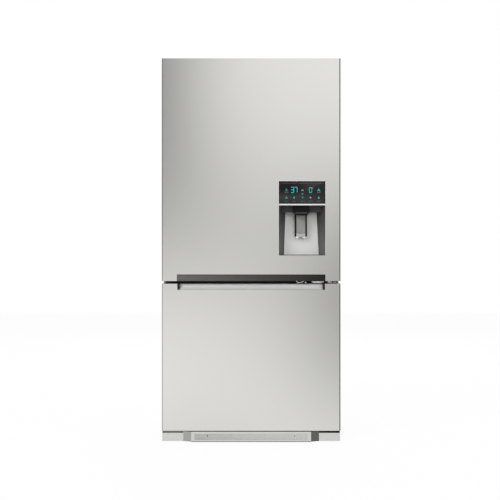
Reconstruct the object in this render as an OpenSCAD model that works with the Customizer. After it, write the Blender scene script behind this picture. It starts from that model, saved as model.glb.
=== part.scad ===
// Bottom-mount fridge freezer with a dispenser in the fridge door.
// Front faces -Y, width runs along X, the floor is Z = 0. Millimetres.

/* [Overall] */
// Width over the doors
body_w = 790; // [740:5:860]
// Height of the top edge of the fridge door
door_top = 1695; // [1640:5:1800]
// Depth from the door faces to the rear spacers
body_d = 695; // [680:5:740]
// How far each cabinet side sits inside the door edge
side_setback = 2; // [1:0.5:5]
// How far the cabinet top sits below the door top
top_setback = 10; // [9:0.5:14]

/* [Cabinet walls] */
// Thickness of the steel sheet
sheet = 1; // [0.7:0.1:1.5]
// Thickness of the plastic liners
liner = 2; // [1.5:0.1:3]
// Insulation in the fridge side walls
fridge_side = 45; // [38:1:52]
// Insulation in the freezer side walls
freezer_side = 60; // [54:1:66]
// Insulation in the top wall
top_wall = 50; // [40:1:60]
// Insulation in the back wall
back_wall = 52; // [42:1:60]
// Insulation in the wall between the compartments
mullion = 58; // [54:1:64]
// Insulation under the freezer
freezer_floor = 52; // [44:1:60]
// Depth of the spacer ribs behind the back panel
spacer = 8; // [6:1:14]

/* [Machine room] */
// Inner height of the machine room above its floor plate
machine_h = 220; // [205:1:235]
// Inner depth of the machine room
machine_d = 215; // [205:1:225]
// Height of the floor plate above the floor
plate_z = 34; // [33:1:40]
// Radius of the rear rollers
roller_r = 16; // [14:0.5:18]
// Travel of the levelling feet
foot_travel = 12; // [6:1:14]
// Radius of the compressor can
can_r = 78; // [65:1:84]
// Height of the compressor can
can_h = 150; // [120:1:160]
// Radius of the condenser fan
cond_fan_r = 62; // [50:1:66]

/* [Doors] */
// Thickness of both door panels
door_t = 72; // [66:1:80]
// Space between a door panel and the cabinet, filled by the gasket
gasket_gap = 12; // [10:1:16]
// Height of the middle of the gap between the doors
split_z = 706; // [690:1:720]
// Gap between the fridge door and the freezer drawer
door_gap = 12; // [11:0.5:16]
// Height of the bottom edge of the freezer drawer
drawer_z = 51; // [49:0.5:60]
// Radius of the door panels' upright edges
edge_r = 6.5; // [4:0.5:8]
// Depth of the raised plug on the inside of each door
plug_d = 32; // [24:1:36]
// Distance of the hinge axis from the door's side edge
hinge_in = 22; // [20:0.5:24]
// Distance of the hinge axis behind the door face
hinge_back = 40; // [38:0.5:44]
// Radius of the hinge pins
pin_r = 6; // [4:0.5:7]
// Width of a gasket
gasket_w = 18; // [14:1:20]

/* [Handle] */
// Length of the dark pull strip
pull_w = 656; // [560:2:680]
// Height of the dark pull strip
pull_h = 29; // [24:1:36]
// Depth of the finger pocket behind the pull strip
pull_d = 40; // [30:1:46]
// Height of the sloping grip on the drawer
grip_h = 27; // [20:1:34]
// Depth of the sloping grip on the drawer
grip_d = 30; // [22:1:34]
// Width of the dark cheek at each end of the grip
cheek_w = 10; // [6:1:14]

/* [Dispenser] */
// Distance of the dispenser's centre line from the right edge of the door
disp_in = 170; // [167:1:180]
// Height of the dispenser's lower edge above the door's lower edge
disp_rise = 113; // [100:1:128]
// Width of the dispenser
disp_w = 206; // [190:1:212]
// Height of the recess
recess_h = 221; // [212:1:230]
// Depth of the recess at its floor
recess_low_d = 75; // [70:1:80]
// Depth of the recess at its ceiling
recess_high_d = 100; // [96:1:105]
// Height of the control panel
panel_h = 100; // [80:1:120]
// Height of the metal strip under the control panel
strip_h = 7; // [4:0.5:10]
// Width of the paddle
paddle_w = 55; // [50:1:60]
// Length of the paddle below its pivot
paddle_l = 104; // [90:1:115]

/* [Interior] */
// Heights of the three glass shelves above the fridge floor
shelf_low_share = 0.327; // [0.3:0.001:0.36]
shelf_mid_share = 0.65; // [0.6:0.01:0.7]
shelf_drop = 211; // [195:1:230]
// Height of the crisper cover above the fridge floor
crisper_top = 170; // [150:2:190]
// Front edge of the shelves behind the cabinet front
shelf_in = 140; // [138:1:150]
// Thickness of a glass pane
glass_t = 4; // [3:0.5:5]
// Thickness of the bin walls
bin_t = 2.5; // [2:0.1:3.5]
// Depth of the bins on the fridge door
door_bin_d = 78; // [60:1:82]
// Travel of a crisper behind the shut door
crisper_travel = 45; // [20:1:50]
// Radius of the water filter
filter_r = 26; // [20:1:28]

/* [Freezer drawer] */
// Height of the drawer slides above the freezer floor
slide_z = 310; // [290:2:330]
// Space between the slides and the cover behind them
slide_gap = 48; // [30:1:68]
// Space behind the lower bin
bin_gap = 19; // [13:1:50]
// Depth of the sliding tray
tray_d = 200; // [150:5:205]
// Height of the sliding tray
tray_h = 90; // [60:2:110]

/* [Plinth] */
// Height of the plinth's middle panel
plinth_h = 44; // [36:0.5:46]
// Half width of the plinth's middle panel
plinth_mid = 265; // [220:1:275]
// Width of the sloping ends of the middle panel
plinth_slope = 36; // [20:1:38]
// How far the middle panel stands in front of the wings
plinth_bow = 15; // [8:1:19]

/* [Hidden] */
$fn = 48;

// Clearances
touch = 0.2;   // between separate solids of one node
seat = 0.3;    // between soft or moving pieces and their seats
run = 0.05;    // radial, between a pin and its bore

// Main planes
half_w = body_w / 2;
front_y = -body_d / 2;
door_back = front_y + door_t;
cab_front = door_back + gasket_gap;
cab_back = body_d / 2 - spacer;
cab_half = half_w - side_setback;
cab_top = door_top - top_setback;
cab_low = 6;
flange_w = 8;
door_low = split_z + door_gap / 2;
drawer_top = split_z - door_gap / 2;

// Fridge compartment, inner faces
fr_x = cab_half - sheet - fridge_side - liner;
fr_low = split_z + mullion / 2 + liner;
fr_top = cab_top - sheet - top_wall - liner;
fr_back = cab_back - sheet - back_wall - liner;

// Freezer compartment, inner faces
fz_x = cab_half - sheet - freezer_side - liner;
foam_low = 58;
fz_low = foam_low + freezer_floor + liner;
fz_top = split_z - mullion / 2 - liner;
plate_t = 2;
base_z = plate_z + plate_t;
base_top = foam_low - touch;
machine_front = cab_back - machine_d;
machine_top = base_z + machine_h;
step_z = machine_top + sheet + freezer_floor + liner;
step_y = machine_front - sheet - back_wall - liner;

// Hinge axis
hinge_x = half_w - hinge_in;
hinge_y = front_y + hinge_back;
arm_t = 4;
arm_gap = 1;
arm_half = 15;
hinge_plate_l = 66;
hinge_plate_in = 52;
bolt_r = 6;
bolt_x = 36;
bolt_step = 26;
bolt_y = 40;
bolt_h = 3;
hood_t = 1.5;
hood_in = 60;
hood_l = 84;
hood_gap = 6.5;
mid_plate_t = 3;
mid_plate_in = 100;
mid_arm_half = 14;
mid_arm_t = 5;
mid_boss = 4;
mid_screw_r = 5;
mid_screw_x = 84;
mid_screw_step = 34;

// Door parts
cap_h = 26;
pull_over = 7;
pull_cap_h = pull_h + pull_over;
grip_cap_h = 50;
low_cap_h = 14;
pin_l = 20;
plug_y = cab_front + plug_d - gasket_gap;
door_foam_front = front_y + sheet;
door_foam_back = door_back - liner;
return_y = door_foam_back - touch;
cap_x = half_w - sheet - touch - edge_r;
cap_front = front_y + sheet + touch;
grip_in = 2;
grip_half = pull_w / grip_in - grip_in;
grip_low = drawer_top - grip_h;
seal_in = 9;
seal_out = 8;
foam_gap = 4;
cap_wall = 3;
bore_boss = 20;
lip_t = 4;
grip_fold = 10;
grip_top_d = 6;
grip_wall = 14;
pull_end = 6;
plug_side = 8;
fr_plug_x = fr_x - plug_side;
fr_plug_up = 18;
fr_plug_low = fr_low + fr_plug_up;
fr_plug_down = 20;
fr_plug_top = fr_top - fr_plug_down;
fz_plug_x = fz_x - plug_side;
fz_plug_in = 10;
fz_plug_low = fz_low + fz_plug_in;
fz_plug_top = fz_top - fz_plug_in;

// Dispenser
disp_x = half_w - disp_in;
disp_z = door_low + disp_rise;
disp_half = disp_w / 2;
recess_half = disp_half - 2;
recess_top = disp_z + recess_h;
panel_low = recess_top + strip_h;
panel_top = panel_low + panel_h;
splay = 0.31;
grille_t = 3;
grille_slots = 9;
grille_slot = 6;
grille_edge = 12;
spout_top = 32;
spout_wide = 38;
spout_narrow = 26.5;
spout_front = 16;
spout_drop = 9;
spout_crease = 18;
chute_half = 12;
chute_wall = 5;
ear_t = 4;
ear_wall = 2.5;
head_h = 28;
head_z = recess_top - head_h;
head_d = 48;
house_back = 15;
house_d = recess_high_d + house_back;
bulge_out = 24;
bulge_y = front_y + house_d + bulge_out;
bulge_side = 22;
bulge_x0 = disp_x - disp_half - bulge_side;
bulge_in = 20;
bulge_low = disp_z - bulge_in;
bulge_high = panel_top + bulge_in;
glass_d = 4;
outlet_off = 3;
outlet_x = disp_x - outlet_off;
pivot_up = 187;
pivot_z = disp_z + pivot_up;
pivot_in = 60;
pivot_y = front_y + pivot_in;
paddle_pin_r = 3;
paddle_rail = 7;
paddle_rail_d = 5;
paddle_plate_d = 2;
paddle_pin_l = 5;

// Shelves and crispers
shelf_high = fr_top - fr_low - shelf_drop;
shelf_low = crisper_top + shelf_low_share * (shelf_high - crisper_top);
shelf_mid = crisper_top + shelf_mid_share * (shelf_high - crisper_top);
shelf_front = cab_front + shelf_in;
duct_room = 27;
shelf_back = fr_back - duct_room;
shelf_gap = 3;
shelf_half = fr_x - shelf_gap;
rim_w = 14;
rim_h = 12;
ledge_w = 12;
ledge_h = 8;
ledge_in = 10;
cover_z = fr_low + crisper_top;
crisper_in = 12;
crisper_front = shelf_front + crisper_in;
crisper_room = 22;
crisper_back = shelf_back - crisper_room;
hanger_t = 4;
runner_t = 3;
runner_w = 17;
runner_down = 12;
runner_z = cover_z - rim_h - runner_down;
runner_drop = 10;
crisper_flange = 8;
crisper_rise = 8;
grip_half_w = 60;
grip_top = 10;
grip_open = 16;
crisper_x1 = fr_x - 25;
vent_x0 = -220;
vent_x1 = -100;
vent_d = 4;
vent_h = 4;
vent_up = 3;
vent_z = cover_z - rim_h + vent_up;
slider_w = 28;
slider_in = 4;
slider_out = 6;
filter_down = 12;
filter_z = fr_top - filter_down - filter_r;
filter_side = 75;
filter_x = fr_x - filter_side;
filter_in = 130;
filter_front = cab_front + filter_in;
filter_l = 230;
filter_neck_r = 12;

// Ice box on the fridge door
ice_half = 136;
ice_side = 4;
ice_x = fr_plug_x - ice_half - ice_side;
ice_up = 34;
ice_low = panel_top + ice_up;
ice_down = 36;
ice_high = fr_top - ice_down;
ice_d = 120;
ice_y = cab_front + ice_d;
ice_wall = 12;
ice_cover = 4;
mould_down = 90;
mould_z = ice_high - mould_down;
mould_h = 30;
mould_d = 60;
mould_floor = 6;
cubes = 6;
cube_wall = 8;
ice_gap = 2;
ice_fill = 0.565;
ice_bin_z = ice_low + ice_wall + seat;
ice_bin_h = ice_fill * (mould_z - ice_low);
auger_r = 5;
auger_h = 34;
auger_y = (plug_y + ice_wall + ice_gap + ice_y - ice_cover - ice_gap) / 2;
flight_r = 24;
flight_t = 2;
flights = 7;

// Door bins: lower edges above the fridge floor, and their heights
bin_side = 24;
bin_left = -fr_x + bin_side;
bin_clear = 32;
bin_right_low = disp_x - disp_half - bin_clear;
bin_right_high = ice_x - ice_half - bin_side / 2;
bin_front = plug_y + door_bin_d;
bottle_up = 30;
bottle_z = fr_low + bottle_up;
bottle_h = 120;
open_bin_h = 90;
bin_step = 220;
middle_bin_z = bottle_z + bin_step;
dairy_down = 211;
dairy_z = fr_top - dairy_down;
dairy_h = 66;
upper_bin_z = (middle_bin_z + dairy_z) / 2;
dairy_ear = 3;
dairy_ear_w = 16;
dairy_ear_h = 14;
lid_pin_r = 2.5;
lid_pin_h = 7;
lid_t = 2;
lid_gap = 1.5;
lid_low = 40;

// Freezer drawer
rail_z = fz_low + slide_z;
rail_front = plug_y + 2;
evap_room = 72;
evap_y = fr_back - evap_room;
rail_t = 1.2;
ball_gap = 0.4;
fixed_h = 20;
middle_h = fixed_h - rail_t - ball_gap;
moving_h = middle_h - rail_t - ball_gap;
slide_l = evap_y - slide_gap - rail_front;
fixed_x = fz_x - touch;
slide_w = 14.5;
arm_x = fixed_x - slide_w;
arm_sheet = 3;
arm_low = 14;
arm_foot = 40;
arm_foot_h = 30;
flange_in = 11;
middle_short = 10;
moving_short = 38;
rim_up = 24;
rim_z = rail_z + rim_up;
rim_t = 3;
fbin_side = 26;
fbin_half = arm_x - fbin_side;
fbin_wall = 3;
fbin_rise = 10;
fbin_in = 4;
fbin_front = plug_y + fbin_in;
bin_d = step_y - bin_gap - fbin_front;
tray_front = fbin_front + 2;
fan_down = 62;
fan_z = fz_top - fan_down;
evap_fan_r = 46;
evap_shaft_r = 2.5;

// Plinth and feet
wing_in = 20;
wing_y = front_y + wing_in;
plinth_y = wing_y - plinth_bow;
plinth_low = 2;
wing_drop = 6;
wing_edge = 1;
clip_in = 90;
clip_w = 12;
groove_in = 10;
groove_low = 8;
groove_h = 6;
groove_step = 10;
wing_h = plinth_h - wing_drop;
plinth_t = 3;
foot_side = 58;
foot_x = cab_half - foot_side;
foot_in = 34;
foot_y = cab_front + foot_in;
foot_r = 6;
pad_r = 18;
pad_h = 9;
hex_r = 11;
hex_h = 8;
shank_over = 12;
roller_side = 48;
roller_x = cab_half - roller_side;
roller_in = 42;
roller_y = cab_back - roller_in;
roller_w = 22;
axle_r = 4;
rail_in = 56;
rail_down = 14;
front_rail_y = cab_front + rail_in;

// Machine room
can_side = 213;
can_x = can_side - cab_half;
can_y = machine_front + machine_d / 2;
can_foot = 8;
can_round = 25;
can_bar_t = 4;
can_bar_half = 50;
can_bar_over = 10;
grommet_r = 10;
grommet_y = 40;
stub_r = 4;
stub_l = 26;
stub_sunk = 12;
suction_h = 120;
delivery_h = 100;
delivery_y = 24;
cond_side = 93;
cond_l = 208;
cond_x1 = cab_half - cond_side;
cond_x0 = cond_x1 - cond_l;
coil_front = 28;
coil_back = 38;
coil_h = 178;
coil_plate_t = 2;
coil_fins = 9;
coil_rows = 4;
coil_cols = 3;
coil_tube_r = 4;
coil_tube_low = 46;
coil_tube_step = 36;
coil_tube_in = 30;
coil_tube_out = 6;
fin_t = 1;
fin_low = 30;
fin_in = 6;
pan_front = 20;
pan_back = 24;
pan_side = 4;
pan_h = 20;
pan_t = 2;
fan_side = 68;
fan_x = cond_x0 - fan_side;
fan_up = 84;
fan_hub_z = base_z + fan_up;
fan_plate_t = 4;
fan_plate_side = 14;
fan_open = 6;
fan_shaft_r = 3;
fan_shaft_l = 26;
fan_motor_r = 20;
fan_motor_l = 18;
fan_hub_r = 16;
fan_hub_l = 20;
fan_hub_gap = 5;
spoke_w = 6;
spoke_t = 2;
blades = 5;
blade_t = 1.8;
blade_turn = 32;
blade_share = 0.56;
cover_t = 2;
cover_side = 6;
cover_low = 4;
cover_high = 20;
rib_w = 16;
rib_in = 60;
rib_right = 150;
louvre_w = 90;
louvre_h = 5;
louvre_step = 14;
louvre_low = 16;
louvres = 10;
louvre_in = 30;
valve_side = 52;
valve_x = cab_half - valve_side;
valve_z = 190;
valve_r = 13.2;
valve_wall = 4;
valve_half = 20;
valve_high = 18;
valve_deep = 34;
valve_window = 24;
valve_in = 12;
coil_can_r = 14;
coil_can_h = 33;
valve_tab_t = 4;
gland_side = 70;
gland_x = valve_x - gland_side;
gland_z = 190;
gland_bore = 4;
gland_wall = 5;
gland_flange = 8;
gland_l = 11;
gland_flange_t = 3;

// Evaporator
evap_in = 50;
evap_plate_t = 2;
evap_gap = 12;
evap_low = 16;
evap_fins = 11;
evap_rows = 6;
evap_row_low = 30;
evap_row_high = 14;
evap_tube_r = 4;
heater_r = 5;
evap_clear = 36;
evap_cover_t = 2.5;
evap_ring_d = 36;
evap_open = 4;
evap_ring_t = 3;
evap_motor_r = 16;
evap_motor_l = 22;
evap_hub_r = 12;
evap_hub_l = 18;
evap_hub_in = 10;
evap_vents = 4;
evap_vent_x = 90;
evap_vent_in = 40;
evap_vent_h = 6;
evap_vent_step = 14;
evap_vent_low = 20;
evap_slots = 3;
evap_slot_h = 5;
evap_slot_step = 12;

// Air duct and ceiling console of the fridge
duct_half = 110;
duct_t = 2;
duct_d = 22;
duct_low = 20;
duct_high = 30;
duct_slots = 4;
duct_slot_half = 70;
duct_slot_h = 5;
duct_slot_step = 12;
duct_slot_z = 60;
console_half = 90;
console_d = 180;
console_plate_t = 8;
console_lamp_h = 20;
filter_head_l = 60;
filter_head_wall = 6;
filter_bore_l = 30;
filter_neck_l = 26;
filter_grip_x = 14;
filter_grip_half = 8;
filter_grip_l = 18;
filter_web = 3;

// A box given by its two corners
module slab(x0, x1, y0, y1, z0, z1) {
    translate([x0, y0, z0])
        cube([x1 - x0, y1 - y0, z1 - z0]);
}

// The same thing on the left and on the right
module both_sides() {
    children();
    mirror([1, 0, 0]) children();
}

// A profile of [y, z] points pushed along X
module along_x(x0, x1) {
    translate([x0, 0, 0])
        rotate([90, 0, 90])
            linear_extrude(x1 - x0)
                children();
}

// A profile of [x, z] points pushed along Y
module along_y(y0, y1) {
    translate([0, y1, 0])
        rotate([90, 0, 0])
            linear_extrude(y1 - y0)
                children();
}

module rod_x(x0, x1, y, z, r) {
    translate([x0, y, z]) rotate([0, 90, 0]) cylinder(h = x1 - x0, r = r);
}

module rod_y(y0, y1, x, z, r) {
    translate([x, y0, z]) rotate([-90, 0, 0]) cylinder(h = y1 - y0, r = r);
}

module rod_z(z0, z1, x, y, r) {
    translate([x, y, z0]) cylinder(h = z1 - z0, r = r);
}

// A box with walls and a floor, open at the top
module tub(x0, x1, y0, y1, z0, z1, t) {
    difference() {
        slab(x0, x1, y0, y1, z0, z1);
        slab(x0 + t, x1 - t, y0 + t, y1 - t, z0 + t, z1 + 1);
    }
}

// A flat frame in the XZ plane: outer corners, and the width of its border
module ring_xz(half, z0, z1, y0, y1, w) {
    difference() {
        slab(-half, half, y0, y1, z0, z1);
        slab(-half + w, half - w, y0 - 1, y1 + 1, z0 + w, z1 - w);
    }
}

// A flat frame in the XY plane
module ring_xy(half, y0, y1, z0, z1, w) {
    difference() {
        slab(-half, half, y0, y1, z0, z1);
        slab(-half + w, half - w, y0 + w, y1 - w, z0 - 1, z1 + 1);
    }
}

// Outline of a door panel seen from above, with round front corners
module door_outline(half, y0, y1, r) {
    translate([-half + r, y0]) square([2 * (half - r), y1 - y0]);
    translate([-half, y0 + r]) square([2 * half, y1 - y0 - r]);
    for (side = [-1, 1])
        translate([side * (half - r), y0 + r]) circle(r);
}

// Sheet-steel face of a door panel, wrapped round both sides
module wrapped_skin(z0, z1) {
    difference() {
        translate([0, 0, z0])
            linear_extrude(z1 - z0)
                door_outline(half_w, front_y, return_y, edge_r);
        translate([0, 0, z0 - 1])
            linear_extrude(z1 - z0 + 2)
                door_outline(half_w - sheet, front_y + sheet, return_y + 1, edge_r - sheet);
    }
}

// Folding magnetic seal: a foot on the door, a narrow bellows and the magnet strip
module seal(half, z0, z1) {
    bellows = gasket_w / 4;
    foot_t = 3;
    magnet_t = gasket_gap / 3;
    ring_xz(half, z0, z1, door_back, door_back + foot_t, gasket_w);
    ring_xz(half - bellows, z0 + bellows, z1 - bellows, door_back + foot_t - 0.5,
        cab_front - seat - magnet_t + 0.5, gasket_w - 2 * bellows);
    ring_xz(half - 1, z0 + 1, z1 - 1, cab_front - seat - magnet_t, cab_front - seat, gasket_w - 2);
}

// Steel wrapper: both sides, the top and the front flange where the magnetic seals hold
module cabinet_shell() {
    inner = cab_half - sheet;
    y0 = cab_front - 1;
    y1 = cab_front + sheet + 1;
    color("silver")
        difference() {
            slab(-cab_half, cab_half, cab_front, cab_back, cab_low, cab_top);
            slab(-inner, inner, cab_front + sheet, cab_back + 1, cab_low - 1, cab_top - sheet);
            slab(-fr_x, fr_x, y0, y1, fr_low, fr_top);
            slab(-fz_x, fz_x, y0, y1, fz_low, fz_top);
            slab(-cab_half + flange_w, cab_half - flange_w, y0, y1, cab_low - 1, foam_low);
        }
}

// Flat back sheet, and the stepped sheet between the insulation and the machine room
module back_panels() {
    half = cab_half - sheet - touch;
    color("gray") {
        slab(-half, half, cab_back - sheet, cab_back, machine_top + sheet + touch,
            cab_top - sheet - touch);
        slab(-half, half, machine_front - sheet, cab_back, machine_top, machine_top + sheet);
        slab(-half, half, machine_front - sheet, machine_front, foam_low, machine_top + sheet);
    }
}

module cabinet_foam() {
    y0 = cab_front + sheet;
    y1 = cab_back - sheet;
    outer = cab_half - sheet;
    fr_o = fr_x + liner;
    fz_o = fz_x + liner;
    mull_low = fz_top + liner;
    mull_high = fr_low - liner;
    roof = cab_top - sheet;
    step_low = machine_top + sheet;
    riser_back = machine_front - sheet;
    color("khaki") {
        both_sides() {
            slab(fr_o, outer, y0, y1, mull_high + touch, roof);
            slab(fz_o, outer, y0, riser_back, foam_low, mull_low - touch);
            slab(fz_o, outer, riser_back + touch, y1, step_low, mull_low - touch);
        }
        slab(-fr_o + touch, fr_o - touch, y0, y1, fr_top + liner, roof);
        slab(-fr_o + touch, fr_o - touch, fr_back + liner, y1, mull_high + touch, fr_top + liner - touch);
        slab(-outer, outer, y0, y1, mull_low, mull_high);
        slab(-fz_o + touch, fz_o - touch, y0, riser_back, foam_low, fz_low - liner);
        slab(-fz_o + touch, fz_o - touch, step_y + liner, riser_back,
            fz_low - liner + touch, step_low - touch);
        slab(-fz_o + touch, fz_o - touch, step_y + liner, y1, step_low, step_z - liner);
        slab(-fz_o + touch, fz_o - touch, fr_back + liner, y1,
            step_z - liner + touch, mull_low - touch);
    }
}

// Formed plastic inside of the fridge, with the ledges that carry the shelves
module fridge_liner() {
    y0 = cab_front + sheet;
    color("white") {
        difference() {
            slab(-fr_x - liner, fr_x + liner, y0, fr_back + liner, fr_low - liner, fr_top + liner);
            slab(-fr_x, fr_x, y0 - 1, fr_back, fr_low, fr_top);
        }
        for (z = [shelf_low, shelf_mid, shelf_high, crisper_top])
            both_sides()
                slab(fr_x - ledge_w, fr_x + 1, shelf_front + ledge_in, shelf_back - ledge_in,
                    fr_low + z - rim_h - ledge_h, fr_low + z - rim_h);
    }
}

module freezer_profile(grow) {
    polygon([
        [cab_front + sheet - (grow > 0 ? 0 : 1), fz_low - grow],
        [step_y + grow, fz_low - grow],
        [step_y + grow, step_z - grow],
        [fr_back + grow, step_z - grow],
        [fr_back + grow, fz_top + grow],
        [cab_front + sheet - (grow > 0 ? 0 : 1), fz_top + grow]
    ]);
}

// Formed plastic inside of the freezer, stepped over the machine room
module freezer_liner() {
    color("white")
        difference() {
            along_x(-fz_x - liner, fz_x + liner) freezer_profile(liner);
            along_x(-fz_x, fz_x) freezer_profile(0);
        }
}

// Steel plates of the chassis: rails, front beam, floor plate with the roller forks, foot nuts
module base_frame() {
    x1 = cab_half - sheet;
    x0 = x1 - plate_t;
    y1 = cab_back - plate_t;
    fork_in = roller_w / 2 + 1;
    fork_t = 3;
    nut_r = foot_r + 6;
    ledge = 4;
    color("dimgray") {
        both_sides() {
            slab(x0, x1, cab_front + plate_t, machine_front - touch, cab_low + ledge, base_top);
            slab(x0, x1, machine_front, y1, cab_low + ledge, machine_top - touch);
            difference() {
                union() {
                    rod_z(plate_z - 6, base_top - 1, foot_x, foot_y, nut_r);
                    slab(foot_x - nut_r, x0 - touch, foot_y - nut_r, foot_y + nut_r,
                        base_top - ledge, base_top);
                }
                rod_z(plate_z - 7, base_top - ledge, foot_x, foot_y, foot_r + run);
            }
        }
        slab(-x0 + touch, x0 - touch, front_rail_y, front_rail_y + plate_t,
            plate_z - rail_down, base_top);
        slab(-x0 + touch, x0 - touch, machine_front, machine_front + plate_t, base_z + touch, base_top);
        union() {
            slab(-x0 + touch, x0 - touch, machine_front, y1, plate_z, base_z);
            both_sides() {
                for (side = [-1, 1])
                    translate([roller_x + side * (fork_in + fork_t / 2), 0, 0])
                        slab(-fork_t / 2, fork_t / 2, roller_y - roller_r + 2, roller_y + roller_r - 2,
                            roller_r - axle_r - 2, plate_z + 1);
                rod_x(roller_x - fork_in - fork_t / 2, roller_x + fork_in + fork_t / 2,
                    roller_y, roller_r, axle_r);
            }
        }
    }
}

// One moulding: middle panel with its grooves, sloping ends, flat wings and the clips behind
module plinth() {
    a = plinth_mid;
    b = plinth_mid + plinth_slope;
    t = plinth_t;
    wing_end = half_w - wing_edge;
    clip_end = cab_half - flange_w;
    clip_z = plate_z - wing_drop;
    groove_x = plinth_mid - groove_in;
    color("gainsboro")
        difference() {
            union() {
                translate([0, 0, plinth_low])
                    linear_extrude(plinth_h)
                        polygon([
                            [-b, wing_y], [-a, plinth_y], [a, plinth_y], [b, wing_y],
                            [b, wing_y + t], [a - t / 2, plinth_y + t], [-a + t / 2, plinth_y + t],
                            [-b, wing_y + t]
                        ]);
                both_sides() {
                    slab(b - 1, wing_end, wing_y, wing_y + t, plinth_low, plinth_low + wing_h);
                    slab(wing_end - t, wing_end, wing_y, cab_front - t, plinth_low, plinth_low + wing_h);
                    slab(a - clip_in, a - clip_in + clip_w, plinth_y + 1, front_rail_y,
                        clip_z, clip_z + t);
                    slab(clip_end - clip_w, clip_end, wing_y + 1, front_rail_y, clip_z, clip_z + t);
                }
            }
            for (i = [0:2])
                slab(-groove_x, groove_x, plinth_y - 1, plinth_y + t / 3,
                    plinth_low + groove_low + groove_step * i,
                    plinth_low + groove_low + groove_step * i + groove_h);
        }
}

module compressor() {
    low = base_z + can_foot;
    edge_x = can_x + can_r;
    side_x = can_r + can_bar_over;
    color("black") {
        translate([can_x, can_y, low + can_bar_t - 1])
            rotate_extrude($fn = 64)
                intersection() {
                    union() {
                        square([can_r - can_round, can_h]);
                        translate([0, can_round]) square([can_r, can_h - 2 * can_round]);
                        translate([can_r - can_round, can_round]) circle(can_round);
                        translate([can_r - can_round, can_h - can_round]) circle(can_round);
                    }
                    square([can_r, can_h]);
                }
        slab(can_x - side_x, can_x + side_x, can_y - can_bar_half, can_y + can_bar_half,
            low, low + can_bar_t);
        for (sx = [-1, 1])
            for (sy = [-1, 1])
                rod_z(base_z, low + 1, can_x + sx * (can_r - 2), can_y + sy * grommet_y, grommet_r);
        rod_x(edge_x - stub_sunk, edge_x + stub_l, can_y, base_z + suction_h, stub_r);
        rod_x(edge_x - stub_sunk, edge_x + stub_l, can_y + delivery_y, base_z + delivery_h, stub_r);
    }
}

// Tube-and-fin coil of the warm side, and the ring that holds its fan
module condenser() {
    y0 = machine_front + coil_front;
    y1 = cab_back - coil_back;
    high = base_z + coil_h;
    fin_step = (cond_x1 - cond_x0) / (coil_fins + 1);
    col_step = (y1 - y0 - 2 * coil_tube_in) / (coil_cols - 1);
    color("darkgray") {
        for (x = [cond_x0, cond_x1])
            slab(x, x + coil_plate_t, y0, y1, base_z, high);
        for (i = [1:coil_fins])
            slab(cond_x0 + i * fin_step, cond_x0 + i * fin_step + fin_t, y0 + fin_in, y1 - fin_in,
                base_z + fin_low, high - fin_in);
        for (i = [0:coil_rows - 1])
            for (j = [0:coil_cols - 1])
                rod_x(cond_x0 - coil_tube_out, cond_x1 + coil_tube_out,
                    y0 + coil_tube_in + j * col_step, base_z + coil_tube_low + coil_tube_step * i,
                    coil_tube_r);
        fan_plate();
    }
}

// Square plate with the fan's opening, four spokes, and the motor with its shaft
module fan_plate() {
    side = cond_fan_r + fan_plate_side;
    bore = cond_fan_r + fan_open;
    difference() {
        slab(fan_x, fan_x + fan_plate_t, can_y - side, can_y + side, base_z, fan_hub_z + side);
        rod_x(fan_x - 1, fan_x + fan_plate_t + 1, can_y, fan_hub_z, bore);
    }
    for (a = [45:90:315])
        translate([fan_x + 1, can_y, fan_hub_z])
            rotate([a, 0, 0])
                translate([0, -spoke_w / 2, fan_motor_r - 2])
                    cube([spoke_t, spoke_w, bore + 4 - fan_motor_r]);
    rod_x(fan_x - 1, fan_x - 1 + fan_motor_l, can_y, fan_hub_z, fan_motor_r);
    rod_x(fan_x - fan_shaft_l, fan_x + 1, can_y, fan_hub_z, fan_shaft_r);
}

module drain_pan() {
    color("black")
        tub(cond_x0 + pan_side, cond_x1 - pan_side / 2, machine_front + pan_front,
            cab_back - pan_back, base_z, base_z + pan_h, pan_t);
}

// Louvred cover over the machine room, with the spacer ribs that keep the wall away
module rear_cover() {
    half = cab_half - sheet - cover_side;
    z0 = plate_z + cover_low;
    z1 = machine_top + sheet + cover_high;
    right = half - rib_right;
    color("dimgray")
        difference() {
            union() {
                slab(-half, half, cab_back, cab_back + cover_t, z0, z1);
                for (x = [-half + rib_in, 0, right])
                    slab(x - rib_w / 2, x + rib_w / 2, cab_back, cab_back + spacer, z0, z1);
            }
            for (i = [0:louvres - 1])
                for (x = [-half + rib_in + louvre_in, -louvre_in - louvre_w, louvre_in,
                    right - rib_w - louvre_w])
                    slab(x, x + louvre_w, cab_back - 1, cab_back + cover_t + 1,
                        z0 + louvre_low + i * louvre_step, z0 + louvre_low + i * louvre_step + louvre_h);
            slab(valve_x - valve_window, valve_x + valve_window, cab_back - 1, cab_back + spacer + 1,
                valve_z - valve_window, valve_z + valve_window);
            rod_y(cab_back - 1, cab_back + cover_t + 1, gland_x, gland_z, gland_bore + gland_wall + touch);
        }
}

// Solenoid valve with the threaded inlet for the water supply
module water_valve() {
    stub_back = cab_back + spacer - 1;
    stub_front = cab_back - valve_in;
    tab_y = stub_front - valve_deep + valve_tab_t;
    color("white")
        difference() {
            union() {
                rod_y(stub_front - 3, stub_back, valve_x, valve_z, valve_r);
                slab(valve_x - valve_half, valve_x + valve_half, stub_front - valve_deep, stub_front,
                    valve_z - valve_high, valve_z + valve_high);
                rod_z(valve_z + valve_high - 1, valve_z + valve_high - 1 + coil_can_h, valve_x,
                    stub_front - valve_deep / 2, coil_can_r);
                slab(valve_x + valve_half - 1, cab_half - sheet - plate_t, tab_y, tab_y + valve_tab_t,
                    valve_z - valve_in, valve_z + valve_in);
            }
            rod_y(stub_front - valve_deep / 2, stub_back + 1, valve_x, valve_z, valve_r - valve_wall);
        }
}

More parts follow.
